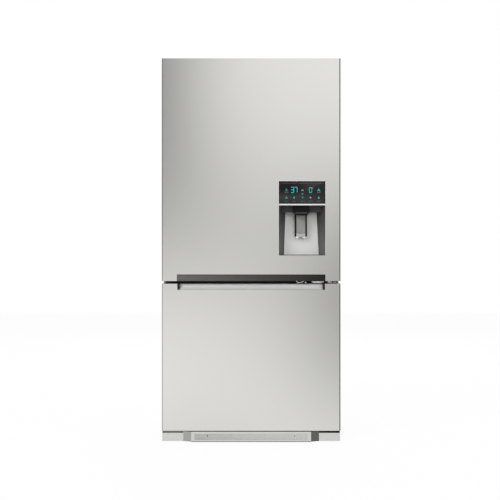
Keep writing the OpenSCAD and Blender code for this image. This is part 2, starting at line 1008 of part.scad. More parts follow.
module cord_gland() {
    y1 = cab_back + gland_l / 2 - 0.5;
    y0 = y1 - gland_l;
    color("black")
        difference() {
            union() {
                rod_y(y0, y1, gland_x, gland_z, gland_bore + gland_wall);
                rod_y(y1 - gland_flange_t, y1, gland_x, gland_z, gland_bore + gland_flange);
            }
            rod_y(y0 - 1, y1 + 1, gland_x, gland_z, gland_bore);
        }
}

// Cold coil behind the freezer's back cover, with its defrost heater rod
module evaporator() {
    half = fz_x - evap_in;
    z0 = step_z + evap_low;
    z1 = fan_z - evap_fan_r - evap_clear;
    row_step = (z1 - z0 - evap_row_low - evap_row_high) / (evap_rows - 1);
    y0 = evap_y + evap_gap;
    y1 = fr_back - evap_gap;
    fin_step = (2 * half - evap_in) / (evap_fins - 1);
    color("silver") {
        both_sides()
            slab(half, half + evap_plate_t, y0, fr_back, z0 - evap_low / 2, z1 + evap_low / 2);
        for (i = [0:evap_fins - 1])
            translate([-half + evap_in / 2 + i * fin_step, 0, 0])
                slab(-fin_t / 2, fin_t / 2, y0 + 2, y1 - 2, z0 + evap_low, z1);
        for (i = [0:evap_rows - 1])
            for (y = [y0 + evap_gap, y1 - evap_gap])
                rod_x(-half - coil_tube_out, half + coil_tube_out, y,
                    z0 + evap_row_low + row_step * i, evap_tube_r);
        rod_x(-half - coil_tube_out, half + coil_tube_out, (y0 + y1) / 2, z0, heater_r);
    }
}

// Back wall of the freezer: vents, and the ring that holds the fan motor
module evaporator_cover() {
    half = fz_x - touch;
    back = evap_y + evap_cover_t;
    ring_y = evap_y + evap_ring_d;
    bore = evap_fan_r + evap_open;
    color("white") {
        difference() {
            union() {
                slab(-half, half, evap_y, back, step_z + touch, fz_top - 1);
                both_sides()
                    slab(half - evap_cover_t, half, evap_y, fr_back - touch, step_z + touch, fz_top - 1);
                rod_y(evap_y + 1, ring_y, 0, fan_z, bore + evap_ring_t);
            }
            rod_y(evap_y - 1, ring_y + 1, 0, fan_z, bore);
            for (i = [0:evap_vents - 1])
                both_sides()
                    translate([0, 0, fan_z - evap_vent_low + evap_vent_step * i])
                        slab(evap_vent_x, half - evap_vent_in, evap_y - 1, back + 1, 0, evap_vent_h);
            for (i = [1:evap_slots])
                translate([0, 0, step_z + evap_slot_step * i])
                    slab(-half + evap_in, half - evap_in, evap_y - 1, back + 1, 0, evap_slot_h);
        }
        for (a = [45:90:315])
            translate([0, ring_y - spoke_t - 1, fan_z])
                rotate([0, a, 0])
                    translate([-spoke_w / 2, 0, evap_motor_r - 2])
                        cube([spoke_w, spoke_t, bore + 3 - evap_motor_r]);
        rod_y(ring_y - 4, ring_y - 4 + evap_motor_l, 0, fan_z, evap_motor_r);
        rod_y(evap_y + 6, ring_y - 3, 0, fan_z, evap_shaft_r);
    }
}

// Air tower up the back wall of the fridge
module fridge_duct() {
    y0 = fr_back - duct_d;
    z0 = cover_z + duct_low;
    z1 = fr_top - duct_high;
    color("whitesmoke")
        difference() {
            slab(-duct_half, duct_half, y0, fr_back - touch, z0, z1);
            slab(-duct_half + duct_t, duct_half - duct_t, y0 + duct_t, fr_back + 1,
                z0 + duct_t, z1 - duct_t);
            for (z = [shelf_low, shelf_mid, shelf_high])
                for (i = [0:duct_slots - 1])
                    translate([0, 0, fr_low + z + duct_slot_z + duct_slot_step * i])
                        slab(-duct_slot_half, duct_slot_half, y0 - 1, y0 + duct_t + 1, 0, duct_slot_h);
        }
}

// Ceiling moulding: the lamp housing and the head that the water filter plugs into
module ceiling_console() {
    head_front = filter_front + filter_l;
    head_back = head_front + filter_head_l;
    head_half = filter_r + filter_head_wall;
    high = fr_top - touch;
    color("white")
        difference() {
            union() {
                slab(-console_half, filter_x + head_half, filter_front, head_back,
                    fr_top - console_plate_t, high);
                slab(-console_half, console_half, filter_front, filter_front + console_d,
                    fr_top - console_lamp_h, high);
                slab(filter_x - head_half, filter_x + head_half, head_front + 1, head_back,
                    filter_z - head_half, high);
            }
            rod_y(head_front - 1, head_front + filter_bore_l, filter_x, filter_z, filter_neck_r + run);
        }
}

module shelf_glass() {
    color("lightcyan", 0.6)
        for (z = [shelf_low, shelf_mid, shelf_high, crisper_top])
            slab(-shelf_half + rim_w / 2 + seat, shelf_half - rim_w / 2 - seat,
                shelf_front + rim_w / 2 + seat, shelf_back - rim_w / 2 - seat,
                fr_low + z - glass_t, fr_low + z);
}

// A moulded rim with a rebate that the glass drops into
module shelf_rim(z) {
    difference() {
        slab(-shelf_half, shelf_half, shelf_front, shelf_back, z - rim_h, z);
        slab(-shelf_half + rim_w, shelf_half - rim_w, shelf_front + rim_w, shelf_back - rim_w,
            z - rim_h - 1, z + 1);
        slab(-shelf_half + rim_w / 2, shelf_half - rim_w / 2, shelf_front + rim_w / 2,
            shelf_back - rim_w / 2, z - glass_t, z + 1);
    }
}

module shelf_trims() {
    color("silver")
        for (z = [shelf_low, shelf_mid, shelf_high])
            shelf_rim(fr_low + z);
}

// Cover over the crispers: its rim, the hanger between them and the runners at each side
module crisper_frame() {
    low = cover_z - rim_h;
    y0 = shelf_front + rim_w + 2;
    y1 = shelf_back - rim_w - 2;
    hang_x = fr_x - ledge_w - 1;
    color("white")
        difference() {
            union() {
                shelf_rim(cover_z);
                slab(-hanger_t / 2, hanger_t / 2, shelf_front + 2, shelf_back - 2, runner_z - 1,
                    cover_z - glass_t);
                slab(-runner_w, runner_w, y0, y1, runner_z - runner_t, runner_z);
                both_sides() {
                    slab(hang_x - runner_t, hang_x, y0, y1, runner_z - 1, low + 1);
                    slab(hang_x - runner_drop, hang_x, y0, y1, runner_z - runner_t, runner_z);
                }
            }
            slab(vent_x0, vent_x1, shelf_front - 1, shelf_front + vent_d, vent_z, vent_z + vent_h);
        }
}

// A crisper drawer that hangs by its rim; side is -1 for left and 1 for right
module crisper(side) {
    outer = crisper_x1;
    inner = runner_w + cap_wall;
    x0 = side < 0 ? -outer : inner;
    x1 = side < 0 ? -inner : outer;
    top = runner_z + seat + runner_t;
    mid = (x0 + x1) / 2;
    color("lightgray", 0.6) {
        difference() {
            tub(x0, x1, crisper_front, crisper_back, fr_low + crisper_rise, top, bin_t);
            slab(mid - grip_half_w, mid + grip_half_w, crisper_front - 1, crisper_front + bin_t + 1,
                top - grip_top - grip_open, top - grip_top);
        }
        slab(x0 - crisper_flange, x0 + 1, crisper_front, crisper_back, top - runner_t, top);
        slab(x1 - 1, x1 + crisper_flange, crisper_front, crisper_back, top - runner_t, top);
    }
}

module left_crisper() {
    crisper(-1);
}

module right_crisper() {
    crisper(1);
}

// Small sliding vent knob in the front rim of the crisper cover
module humidity_slider() {
    x0 = vent_x0 + 1;
    x1 = x0 + slider_w;
    z0 = vent_z + seat;
    z1 = vent_z + vent_h - seat;
    color("gray") {
        slab(x0, x1, shelf_front + seat, shelf_front + vent_d - seat, z0, z1);
        slab(x0 + slider_in, x1 - slider_in, shelf_front - slider_out, shelf_front + 1, z0, z1);
    }
}

module water_filter() {
    head_front = filter_front + filter_l;
    grip_back = filter_front + filter_grip_l;
    color("white") {
        difference() {
            rod_y(filter_front + 2, head_front, filter_x, filter_z, filter_r);
            for (side = [-1, 1])
                translate([filter_x + side * filter_grip_x, 0, filter_z]) {
                    slab(-filter_grip_half, filter_grip_half, filter_front, grip_back,
                        -filter_r - 1, -filter_web);
                    slab(-filter_grip_half, filter_grip_half, filter_front, grip_back,
                        filter_web, filter_r + 1);
                }
        }
        rod_y(head_front - 2, head_front + filter_neck_l, filter_x, filter_z, filter_neck_r);
    }
}

// Fan rotor on an axis along Y: hub, bore and pitched blades
module fan_rotor(r, hub_r, hub_l, bore_r) {
    difference() {
        union() {
            rotate([-90, 0, 0]) cylinder(h = hub_l, r = hub_r);
            for (i = [0:blades - 1])
                rotate([0, i * 360 / blades, 0])
                    translate([0, hub_l / 2, hub_r - 3])
                        rotate([0, 0, blade_turn])
                            translate([-r * blade_share / 2, -blade_t / 2, 0])
                                cube([r * blade_share, blade_t, r - hub_r]);
        }
        translate([0, -1, 0]) rotate([-90, 0, 0]) cylinder(h = hub_l + 2, r = bore_r);
    }
}

module evaporator_fan() {
    color("gray")
        translate([0, evap_y + evap_hub_in, fan_z])
            fan_rotor(evap_fan_r, evap_hub_r, evap_hub_l, evap_shaft_r + run);
}

module condenser_fan() {
    color("gray")
        translate([fan_x - fan_hub_gap, can_y, fan_hub_z])
            rotate([0, 0, 90])
                fan_rotor(cond_fan_r, fan_hub_r, fan_hub_l, fan_shaft_r + run);
}

module roller() {
    color("dimgray")
        difference() {
            rod_x(roller_x - roller_w / 2, roller_x + roller_w / 2, roller_y, roller_r, roller_r);
            rod_x(roller_x - roller_w, roller_x + roller_w, roller_y, roller_r, axle_r + run);
        }
}

module right_roller() {
    roller();
}

module left_roller() {
    mirror([1, 0, 0]) roller();
}

// Levelling foot: round pad, hexagon to turn it and the screw shank
module foot() {
    color("dimgray") {
        rod_z(0, pad_h, foot_x, foot_y, pad_r);
        translate([foot_x, foot_y, pad_h - 1]) cylinder(h = hex_h, r = hex_r, $fn = 6);
        rod_z(pad_h - 1, plate_z + shank_over, foot_x, foot_y, foot_r);
    }
}

module right_foot() {
    foot();
}

module left_foot() {
    mirror([1, 0, 0]) foot();
}

module fixed_rails() {
    y1 = rail_front + slide_l;
    color("silver")
        both_sides() {
            slab(fixed_x - rail_t, fixed_x, rail_front, y1, rail_z - fixed_h, rail_z + fixed_h);
            for (z = [rail_z - fixed_h, rail_z + fixed_h - rail_t])
                slab(fixed_x - flange_in, fixed_x - rail_t / 2, rail_front, y1, z, z + rail_t);
        }
}

// Steel hinge plate on the cabinet top, its raised arm and the pin down into the door
module top_hinge() {
    arm_z = door_top + arm_gap;
    riser_y = cab_front + hood_t;
    color("silver") {
        slab(hinge_x - hinge_plate_in, hinge_x + arm_half, riser_y, riser_y + hinge_plate_l,
            cab_top, cab_top + arm_t);
        slab(hinge_x - arm_half, hinge_x + arm_half, riser_y, riser_y + arm_t, cab_top, arm_z + arm_t);
        slab(hinge_x - arm_half, hinge_x + arm_half, hinge_y, riser_y + 1, arm_z, arm_z + arm_t);
        rod_z(arm_z, arm_z + arm_t, hinge_x, hinge_y, arm_half);
        rod_z(door_top - pin_l, arm_z + 1, hinge_x, hinge_y, pin_r);
        for (i = [0, 1])
            rod_z(cab_top + 1, cab_top + arm_t + bolt_h, hinge_x - bolt_x + bolt_step * i,
                riser_y + bolt_y, bolt_r);
    }
}

module top_hinge_cover() {
    y0 = cab_front + hood_gap;
    y1 = y0 + hood_l;
    x0 = hinge_x - hood_in;
    x1 = cab_half - 2;
    high = door_top + arm_gap + arm_t - seat;
    color("gray")
        difference() {
            slab(x0, x1, y0, y1, cab_top, high);
            slab(x0 + hood_t, x1 - hood_t, y0 - 1, y1 - hood_t, cab_top - 1, high - hood_t);
        }
}

// Bright hinge bracket in the gap between the doors, with the pin up into the fridge door
module middle_hinge() {
    arm_low = split_z - mid_arm_t / 2;
    arm_high = split_z + mid_arm_t / 2;
    plate_half = door_gap / 2 + 1.2;
    color("silver") {
        slab(hinge_x - mid_plate_in, hinge_x + mid_arm_half, cab_front - mid_plate_t, cab_front,
            split_z - plate_half, split_z + plate_half);
        slab(hinge_x - mid_arm_half - 8, hinge_x + mid_arm_half, hinge_y, cab_front - 1,
            arm_low, arm_high);
        rod_z(arm_low, arm_high, hinge_x, hinge_y, mid_arm_half);
        rod_z(arm_low, door_low - seat, hinge_x, hinge_y, pin_r + mid_boss);
        rod_z(arm_low, door_low + pin_l, hinge_x, hinge_y, pin_r);
        for (i = [0, 1])
            rod_y(cab_front - 2 * mid_plate_t, cab_front - 1,
                hinge_x - mid_screw_x + mid_screw_step * i, split_z, mid_screw_r);
    }
}

module fridge_door_skin() {
    color("lightgray")
        difference() {
            wrapped_skin(door_low, door_top);
            slab(disp_x - disp_half, disp_x + disp_half, front_y - 1, front_y + sheet + 2,
                disp_z, panel_top);
            slab(-pull_w / 2, pull_w / 2, front_y - 1, front_y + sheet + 2, door_low - 1, door_low + pull_h);
        }
}

// A block of door insulation that fills the skin's round corners
module foam_block(x0, x1, z0, z1) {
    intersection() {
        slab(x0, x1, door_foam_front, door_foam_back, z0, z1);
        translate([0, 0, z0])
            linear_extrude(z1 - z0)
                door_outline(half_w - sheet, door_foam_front, door_foam_back, edge_r - sheet);
    }
}

// Insulation of the fridge door, in blocks round the dispenser
module fridge_door_foam() {
    x0 = disp_x - disp_half - foam_gap;
    x1 = disp_x + disp_half + foam_gap;
    low = door_low + pull_cap_h;
    high = door_top - cap_h;
    hole_low = disp_z - foam_gap;
    hole_high = panel_top + foam_gap;
    plug_x = fr_plug_x - liner;
    plug_low = fr_plug_low + liner;
    plug_high = fr_plug_top - liner;
    back = plug_y - liner;
    color("khaki") {
        foam_block(-half_w, x0, low, high);
        foam_block(x1, half_w, low, high);
        foam_block(x0 + touch, x1 - touch, hole_high, high);
        foam_block(x0 + touch, x1 - touch, low, hole_low);
        slab(-plug_x, x0, door_foam_back + touch, back, plug_low, plug_high);
        slab(x0 + touch, plug_x, door_foam_back + touch, back, hole_high, plug_high);
        slab(x0 + touch, plug_x, door_foam_back + touch, back, plug_low, hole_low);
        slab(bulge_x0 + liner, plug_x, front_y + house_d + touch, bulge_y - liner,
            bulge_low + liner, bulge_high - liner);
    }
}

// Formed inner side of the fridge door: flange, raised plug and the bulge behind the dispenser
module fridge_door_liner() {
    flange_x = half_w - sheet - touch;
    color("white")
        difference() {
            union() {
                slab(-flange_x, flange_x, door_back - liner, door_back, door_low + 1, door_top - 1);
                slab(-fr_plug_x, fr_plug_x, door_back - liner, plug_y, fr_plug_low, fr_plug_top);
                slab(bulge_x0, fr_plug_x, door_back - liner, bulge_y, bulge_low, bulge_high);
            }
            slab(-fr_plug_x + liner, fr_plug_x - liner, door_back - liner - 1, plug_y - liner,
                fr_plug_low + liner, fr_plug_top - liner);
            slab(bulge_x0 + liner, fr_plug_x - liner, door_back - liner - 1, bulge_y - liner,
                bulge_low + liner, bulge_high - liner);
        }
}

// Moulded cap on top of the fridge door, with the upper hinge bore
module fridge_door_top_cap() {
    high = door_top - touch;
    low = door_top - cap_h + touch;
    color("gray")
        difference() {
            union() {
                difference() {
                    slab(-cap_x, cap_x, cap_front, return_y, low, high);
                    slab(-cap_x + cap_wall, cap_x - cap_wall, cap_front + cap_wall,
                        return_y - cap_wall, low - 1, high - cap_wall);
                }
                slab(hinge_x - bore_boss, cap_x, cap_front, return_y, low, high);
            }
            rod_z(door_top - pin_l - 1, door_top + 1, hinge_x, hinge_y, pin_r + run);
        }
}

// Dark strip across the bottom of the fridge door, hollow behind for the fingers, with the lower bore
module pull_strip() {
    high = door_low + pull_cap_h - touch;
    half = pull_w / 2 - seat;
    color("dimgray")
        difference() {
            union() {
                slab(-cap_x, cap_x, cap_front, return_y, door_low + touch, high);
                slab(-half, half, front_y + seat, cap_front + 1, door_low + touch, door_low + pull_h - seat);
            }
            slab(-half + pull_end, half - pull_end, front_y + seat + lip_t, front_y + pull_d,
                door_low - 1, door_low + pull_h - cap_wall);
            rod_z(door_low - 1, door_low + pin_l + 1, hinge_x, hinge_y, pin_r + run);
        }
}

module fridge_door_gasket() {
    color("gray")
        seal(fr_x + gasket_w + seal_out, split_z + seal_in, fr_top + gasket_w + seal_out);
}

module control_panel() {
    color("black")
        slab(disp_x - disp_half + touch, disp_x + disp_half - touch, front_y, front_y + glass_d,
            panel_low + touch, panel_top - touch);
}

// The recess: side walls that draw in towards a back that leans forward at the bottom
module recess_space(gap) {
    half = recess_half - gap;
    deep = recess_high_d + pivot_in;
    intersection() {
        translate([disp_x, front_y, disp_z])
            linear_extrude(recess_h + 1)
                polygon([
                    [-half, -1], [half, -1], [half, 0],
                    [half - splay * deep, deep], [-half + splay * deep, deep], [-half, 0]
                ]);
        along_x(disp_x - recess_half - 1, disp_x + recess_half + 1)
            translate([front_y, 0])
                children();
    }
}

module recess_section() {
    polygon([
        [-1, disp_z + 1], [recess_low_d, disp_z + 1], [recess_high_d, head_z],
        [head_d, head_z], [head_d, recess_top], [-1, recess_top]
    ]);
}

module dispenser_housing() {
    y1 = front_y + house_d;
    color("darkslategray")
        difference() {
            slab(disp_x - disp_half + seat, disp_x + disp_half - seat, front_y, y1,
                disp_z + seat, panel_top - seat);
            recess_space(0) recess_section();
            slab(disp_x - disp_half - 1, disp_x + disp_half + 1, front_y - 1, front_y + glass_d + touch,
                recess_top, panel_top + 1);
        }
}

// Bright back plate of the recess, and the strip under the control panel
module dispenser_trim() {
    t = 1.5;
    color("silver") {
        recess_space(touch)
            polygon([
                [recess_low_d - t - touch, disp_z + 2], [recess_low_d - touch, disp_z + 2],
                [recess_high_d - touch, head_z - touch], [recess_high_d - t - touch, head_z - touch]
            ]);
        slab(disp_x - disp_half + 1, disp_x + disp_half - 1, front_y, front_y + glass_d,
            recess_top + touch, panel_low - touch);
    }
}

// Dark outlet block under the head of the recess, with the ears that hold the paddle's pins
module dispenser_spout() {
    low = pivot_z - spout_drop;
    crease = low + spout_crease;
    y0 = front_y + spout_front;
    y1 = front_y + head_d - touch;
    ear_r = paddle_pin_r + ear_wall;
    ear_x = paddle_w / 2 - paddle_rail - seat - ear_t;
    color("dimgray")
        difference() {
            union() {
                along_y(y0, y1)
                    translate([outlet_x, 0])
                        polygon([
                            [-spout_top, recess_top - touch], [spout_top, recess_top - touch],
                            [spout_wide, crease], [spout_narrow, low],
                            [-spout_narrow, low], [-spout_wide, crease]
                        ]);
                for (x = [-ear_x - ear_t, ear_x])
                    translate([outlet_x, 0, 0]) {
                        slab(x, x + ear_t, y1 - 1, pivot_y, pivot_z - ear_r, pivot_z + ear_r - 1);
                        rod_x(x, x + ear_t, pivot_y, pivot_z, ear_r);
                    }
            }
            slab(outlet_x - chute_half, outlet_x + chute_half, y0 + chute_wall, y1 - chute_wall,
                low - 1, recess_top - chute_wall);
            rod_x(outlet_x - spout_wide, outlet_x + spout_wide, pivot_y, pivot_z, paddle_pin_r + run);
        }
}

module drip_grille() {
    half = recess_half - splay * recess_low_d - 2;
    z0 = disp_z + 1 + touch;
    step = (2 * half - 2 * grille_edge) / grille_slots;
    color("gray")
        difference() {
            slab(disp_x - half, disp_x + half, front_y + lip_t, front_y + recess_low_d - grille_t,
                z0, z0 + grille_t);
            for (i = [0:grille_slots - 1])
                translate([disp_x - half + grille_edge + i * step, 0, 0])
                    slab(0, grille_slot, front_y + grille_edge, front_y + recess_low_d - grille_edge,
                        z0 - 1, z0 + grille_t + 1);
        }
}

// Insulated box on the door that the ice is made in: shell, cover and the mould tray
module ice_box() {
    x0 = ice_x - ice_half + ice_wall;
    x1 = ice_x + ice_half - ice_wall;
    y0 = plug_y + ice_wall;
    step_x = (x1 - x0 - cube_wall) / cubes;
    step_cube = (mould_d - cube_wall / 2) / 2;
    color("white") {
        difference() {
            slab(x0 - ice_wall, x1 + ice_wall, plug_y, ice_y - ice_cover, ice_low, ice_high);
            slab(x0, x1, y0, ice_y, ice_low + ice_wall, ice_high - ice_wall);
        }
        slab(x0 - ice_wall + ice_gap, x1 + ice_wall - ice_gap, ice_y - ice_cover + touch, ice_y,
            ice_low + ice_gap, ice_high - ice_gap);
        difference() {
            slab(x0, x1, y0 + touch, y0 + mould_d, mould_z, mould_z + mould_h);
            for (i = [0:cubes - 1])
                for (j = [0, 1])
                    translate([x0 + cube_wall + i * step_x, y0 + cube_wall / 2 + j * step_cube, 0])
                        slab(0, step_x - cube_wall, 0, step_cube - cube_wall / 2,
                            mould_z + mould_floor, mould_z + mould_h + 1);
        }
    }
}

module ice_bin() {
    x0 = ice_x - ice_half + ice_wall + ice_gap;
    x1 = ice_x + ice_half - ice_wall - ice_gap;
    y0 = plug_y + ice_wall + ice_gap;
    y1 = ice_y - ice_cover - ice_gap;
    color("lightgray", 0.6)
        difference() {
            tub(x0, x1, y0, y1, ice_bin_z, ice_bin_z + ice_bin_h, bin_t);
            rod_x(x0 - 1, x1 + 1, auger_y, ice_bin_z + auger_h, auger_r + run);
        }
}

// Screw that pushes the ice out: a shaft with slanting flights
module ice_auger() {
    x0 = ice_x - ice_half + ice_wall + 1;
    x1 = ice_x + ice_half - ice_wall - 1;
    color("silver") {
        rod_x(x0, x1, auger_y, ice_bin_z + auger_h, auger_r);
        for (i = [1:flights])
            translate([x0 + i * (x1 - x0) / (flights + 1), auger_y, ice_bin_z + auger_h])
                rotate([0, 90, 0])
                    rotate([18, 0, 0])
                        translate([0, 0, -flight_t / 2])
                            cylinder(h = flight_t, r = flight_r);
    }
}

// Three open bins on the fridge door and the dairy box with the ears for its lid
module door_bins() {
    dairy_top = dairy_z + dairy_h;
    color("lightgray", 0.6) {
        tub(bin_left, bin_right_low, plug_y, bin_front, bottle_z, bottle_z + bottle_h, bin_t);
        tub(bin_left, bin_right_low, plug_y, bin_front, middle_bin_z, middle_bin_z + open_bin_h, bin_t);
        tub(bin_left, bin_right_high, plug_y, bin_front, upper_bin_z, upper_bin_z + open_bin_h, bin_t);
        difference() {
            union() {
                tub(bin_left, bin_right_high, plug_y, bin_front, dairy_z, dairy_top, bin_t);
                for (x = [bin_left, bin_right_high - dairy_ear])
                    slab(x, x + dairy_ear, plug_y, plug_y + dairy_ear_w, dairy_top - 1,
                        dairy_top + dairy_ear_h);
            }
            rod_x(bin_left - 1, bin_right_high + 1, plug_y + dairy_ear_w / 2,
                dairy_top + lid_pin_h, lid_pin_r + run);
        }
    }
}

module dairy_lid() {
    top = dairy_z + dairy_h;
    x0 = bin_left + dairy_ear + seat;
    x1 = bin_right_high - dairy_ear - seat;
    y0 = plug_y + dairy_ear_w / 2;
    front = bin_front + lid_gap;
    low = top + lid_pin_h - lid_gap;
    color("white") {
        slab(x0, x1, y0, front + lid_t, low, low + lid_t);
        slab(x0, x1, front, front + lid_t, top - lid_low, low + 1);
        rod_x(bin_left, bin_right_high, y0, top + lid_pin_h, lid_pin_r);
    }
}

// Paddle that starts the dispenser: plate between two side rails, on two short pins
module paddle() {
    half = paddle_w / 2;
    low = pivot_z - paddle_l;
    color("gray")
        translate([outlet_x, 0, 0]) {
            both_sides() {
                slab(half - paddle_rail, half, pivot_y - paddle_rail_d, pivot_y + paddle_rail_d, low,
                    pivot_z + paddle_rail_d);
                rod_x(half - paddle_rail - paddle_pin_l, half - 1, pivot_y, pivot_z, paddle_pin_r);
            }
            slab(-half + paddle_rail - 1, half - paddle_rail + 1, pivot_y - paddle_plate_d,
                pivot_y + paddle_plate_d, low - paddle_plate_d, pivot_z - paddle_rail);
        }
}

// Face of the drawer, folded back over the sloping grip
module freezer_front_skin() {
    half = grip_half;
    low = grip_low;
    t = 1.5;
    crest = front_y + grip_d;
    fold = crest + grip_top_d;
    fold_z = drawer_top - grip_fold;
    color("lightgray") {
        difference() {
            wrapped_skin(drawer_z, drawer_top);
            slab(-half, half, front_y - 1, front_y + sheet + 2, low, drawer_top + 1);
        }
        along_x(-half + cheek_w + touch, half - cheek_w - touch)
            polygon([
                [front_y, low - 1], [front_y, low], [crest, drawer_top], [fold, drawer_top],
                [fold, fold_z], [fold - t, fold_z], [fold - t, drawer_top - t],
                [crest + t / 2, drawer_top - t], [front_y + t, low - t / 2], [front_y + t, low - 1]
            ]);
    }
}

module freezer_front_foam() {
    color("khaki") {
        foam_block(-half_w, half_w, drawer_z + low_cap_h, drawer_top - grip_cap_h);
        slab(-fz_plug_x + liner, fz_plug_x - liner, door_foam_back + touch, plug_y - liner,
            fz_plug_low + liner, fz_plug_top - liner);
    }
}

module freezer_front_liner() {
    flange_x = half_w - sheet - touch;
    color("white")
        difference() {
            union() {
                slab(-flange_x, flange_x, door_back - liner, door_back, drawer_z + 1, drawer_top - 1);
                slab(-fz_plug_x, fz_plug_x, door_back - liner, plug_y, fz_plug_low, fz_plug_top);
            }
            slab(-fz_plug_x + liner, fz_plug_x - liner, door_back - liner - 1, plug_y - liner,
                fz_plug_low + liner, fz_plug_top - liner);
        }
}

// Dark caps of the drawer front: the top one carries the grip, its cheeks and the finger pocket
module freezer_front_caps() {
    cap_low = drawer_top - grip_cap_h + touch;
    high = drawer_top - touch;
    crest = front_y + grip_d + 1;
    pocket_y = crest + grip_top_d;
    pocket_back = door_back - grip_wall;
    pocket_z = cap_low + 6;
    ridge_z = drawer_top - grip_fold - 2;
    color("dimgray") {
        difference() {
            union() {
                slab(-cap_x, cap_x, cap_front, return_y, cap_low, high);
                both_sides()
                    slab(grip_half - cheek_w, grip_half - seat, front_y + seat, cap_front + 1,
                        grip_low + seat, high);
            }
            along_x(-grip_half + cheek_w, grip_half - cheek_w)
                polygon([
                    [front_y - 1, grip_low - 2], [front_y + 3, grip_low - 2], [crest, drawer_top - 4],
                    [crest + 1, ridge_z], [pocket_y, ridge_z], [pocket_y, pocket_z],
                    [pocket_back, pocket_z], [pocket_back, drawer_top + 1], [front_y - 1, drawer_top + 1]
                ]);
        }
        slab(-cap_x, cap_x, cap_front, return_y, drawer_z + touch, drawer_z + low_cap_h - touch);
    }
}

module freezer_gasket() {
    color("gray")
        seal(fz_x + gasket_w + seal_out, fz_low - gasket_w - seal_out, split_z - seal_in);
}

module freezer_bin() {
    rim_half = arm_x - 4;
    back = fbin_front + bin_d;
    rim_low = rim_z + seat;
    color("lightgray", 0.6) {
        tub(-fbin_half, fbin_half, fbin_front, back, fz_low + fbin_rise, rim_low + rim_t, fbin_wall);
        both_sides()
            slab(fbin_half - 1, rim_half, fbin_front, back, rim_low, rim_low + rim_t);
    }
}

// Arms that carry the bin, their feet on the drawer front, and the inner slide members
module drawer_rails() {
    y0 = plug_y;
    y1 = evap_y - slide_gap - moving_short;
    back = fbin_front + bin_d;
    color("silver")
        both_sides() {
            slab(arm_x - arm_sheet, arm_x, y0, back, rail_z - arm_low, rim_z);
            slab(fbin_half + seat, arm_x, y0, back, rim_z - 2, rim_z);
            slab(arm_x - arm_foot, arm_x, y0, y0 + 2, rail_z - arm_foot_h, rim_z);
            slab(arm_x - 0.5, arm_x + rail_t, y0, y1, rail_z - moving_h, rail_z + moving_h);
            for (z = [rail_z - moving_h, rail_z + moving_h - rail_t])
                slab(arm_x + rail_t / 2, arm_x + flange_in - 2, y0, y1, z, z + rail_t);
        }
}

// Ball-cage members of the slides, between the fixed and the inner members
module slide_middles() {
    x1 = fixed_x - rail_t - ball_gap;
    y0 = rail_front + middle_short;
    y1 = evap_y - slide_gap - middle_short;
    color("silver")
        both_sides() {
            slab(x1 - rail_t, x1, y0, y1, rail_z - middle_h, rail_z + middle_h);
            for (z = [rail_z - middle_h, rail_z + middle_h - rail_t])
                slab(arm_x + rail_t + ball_gap, x1 - rail_t / 2, y0, y1, z, z + rail_t);
        }
}

module freezer_tray() {
    half = arm_x - 8;
    z0 = rim_z + 2 * seat + rim_t;
    color("lightgray", 0.6)
        tub(-half, half, tray_front, tray_front + tray_d, z0, z0 + tray_h, bin_t);
}

cabinet_shell();
back_panels();
cabinet_foam();
fridge_liner();
freezer_liner();
base_frame();
plinth();
compressor();
condenser();
drain_pan();
rear_cover();
water_valve();
cord_gland();
evaporator();
evaporator_cover();
fridge_duct();
ceiling_console();
shelf_glass();
shelf_trims();
crisper_frame();
fixed_rails();
top_hinge();
top_hinge_cover();
middle_hinge();
evaporator_fan();
condenser_fan();
left_roller();
right_roller();
left_foot();
right_foot();
left_crisper();
right_crisper();
humidity_slider();
water_filter();
fridge_door_skin();
fridge_door_foam();
fridge_door_liner();
fridge_door_top_cap();
pull_strip();
fridge_door_gasket();
control_panel();
dispenser_housing();
dispenser_trim();
dispenser_spout();
drip_grille();
ice_box();
ice_bin();
ice_auger();
door_bins();
dairy_lid();
paddle();
freezer_front_skin();
freezer_front_foam();
freezer_front_liner();
freezer_front_caps();
freezer_gasket();
freezer_bin();
drawer_rails();
slide_middles();
freezer_tray();
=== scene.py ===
import math

import bmesh
import bpy
from mathutils import Matrix, Vector


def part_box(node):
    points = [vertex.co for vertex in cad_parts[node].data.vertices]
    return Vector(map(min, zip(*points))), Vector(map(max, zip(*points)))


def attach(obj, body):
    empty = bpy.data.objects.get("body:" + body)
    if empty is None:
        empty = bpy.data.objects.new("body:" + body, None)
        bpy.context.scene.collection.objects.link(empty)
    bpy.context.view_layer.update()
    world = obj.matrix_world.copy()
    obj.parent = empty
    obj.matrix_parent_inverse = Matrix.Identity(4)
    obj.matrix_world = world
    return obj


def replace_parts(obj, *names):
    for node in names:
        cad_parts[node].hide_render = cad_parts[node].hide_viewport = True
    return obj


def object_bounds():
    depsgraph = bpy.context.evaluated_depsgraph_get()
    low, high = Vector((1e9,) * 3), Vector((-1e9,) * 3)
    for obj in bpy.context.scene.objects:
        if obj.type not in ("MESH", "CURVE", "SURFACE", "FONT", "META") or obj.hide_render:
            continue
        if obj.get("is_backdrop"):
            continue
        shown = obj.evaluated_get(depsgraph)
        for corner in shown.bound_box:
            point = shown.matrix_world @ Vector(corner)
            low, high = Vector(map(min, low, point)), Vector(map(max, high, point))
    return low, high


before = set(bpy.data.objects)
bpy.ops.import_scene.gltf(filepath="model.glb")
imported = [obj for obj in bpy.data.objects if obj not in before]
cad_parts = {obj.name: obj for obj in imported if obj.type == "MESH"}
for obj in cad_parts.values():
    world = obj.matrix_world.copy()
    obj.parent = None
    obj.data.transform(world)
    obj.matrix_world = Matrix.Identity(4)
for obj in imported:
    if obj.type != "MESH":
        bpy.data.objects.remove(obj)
cad_low, cad_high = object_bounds()
scene = bpy.context.scene
scene.view_settings.view_transform = "Standard"


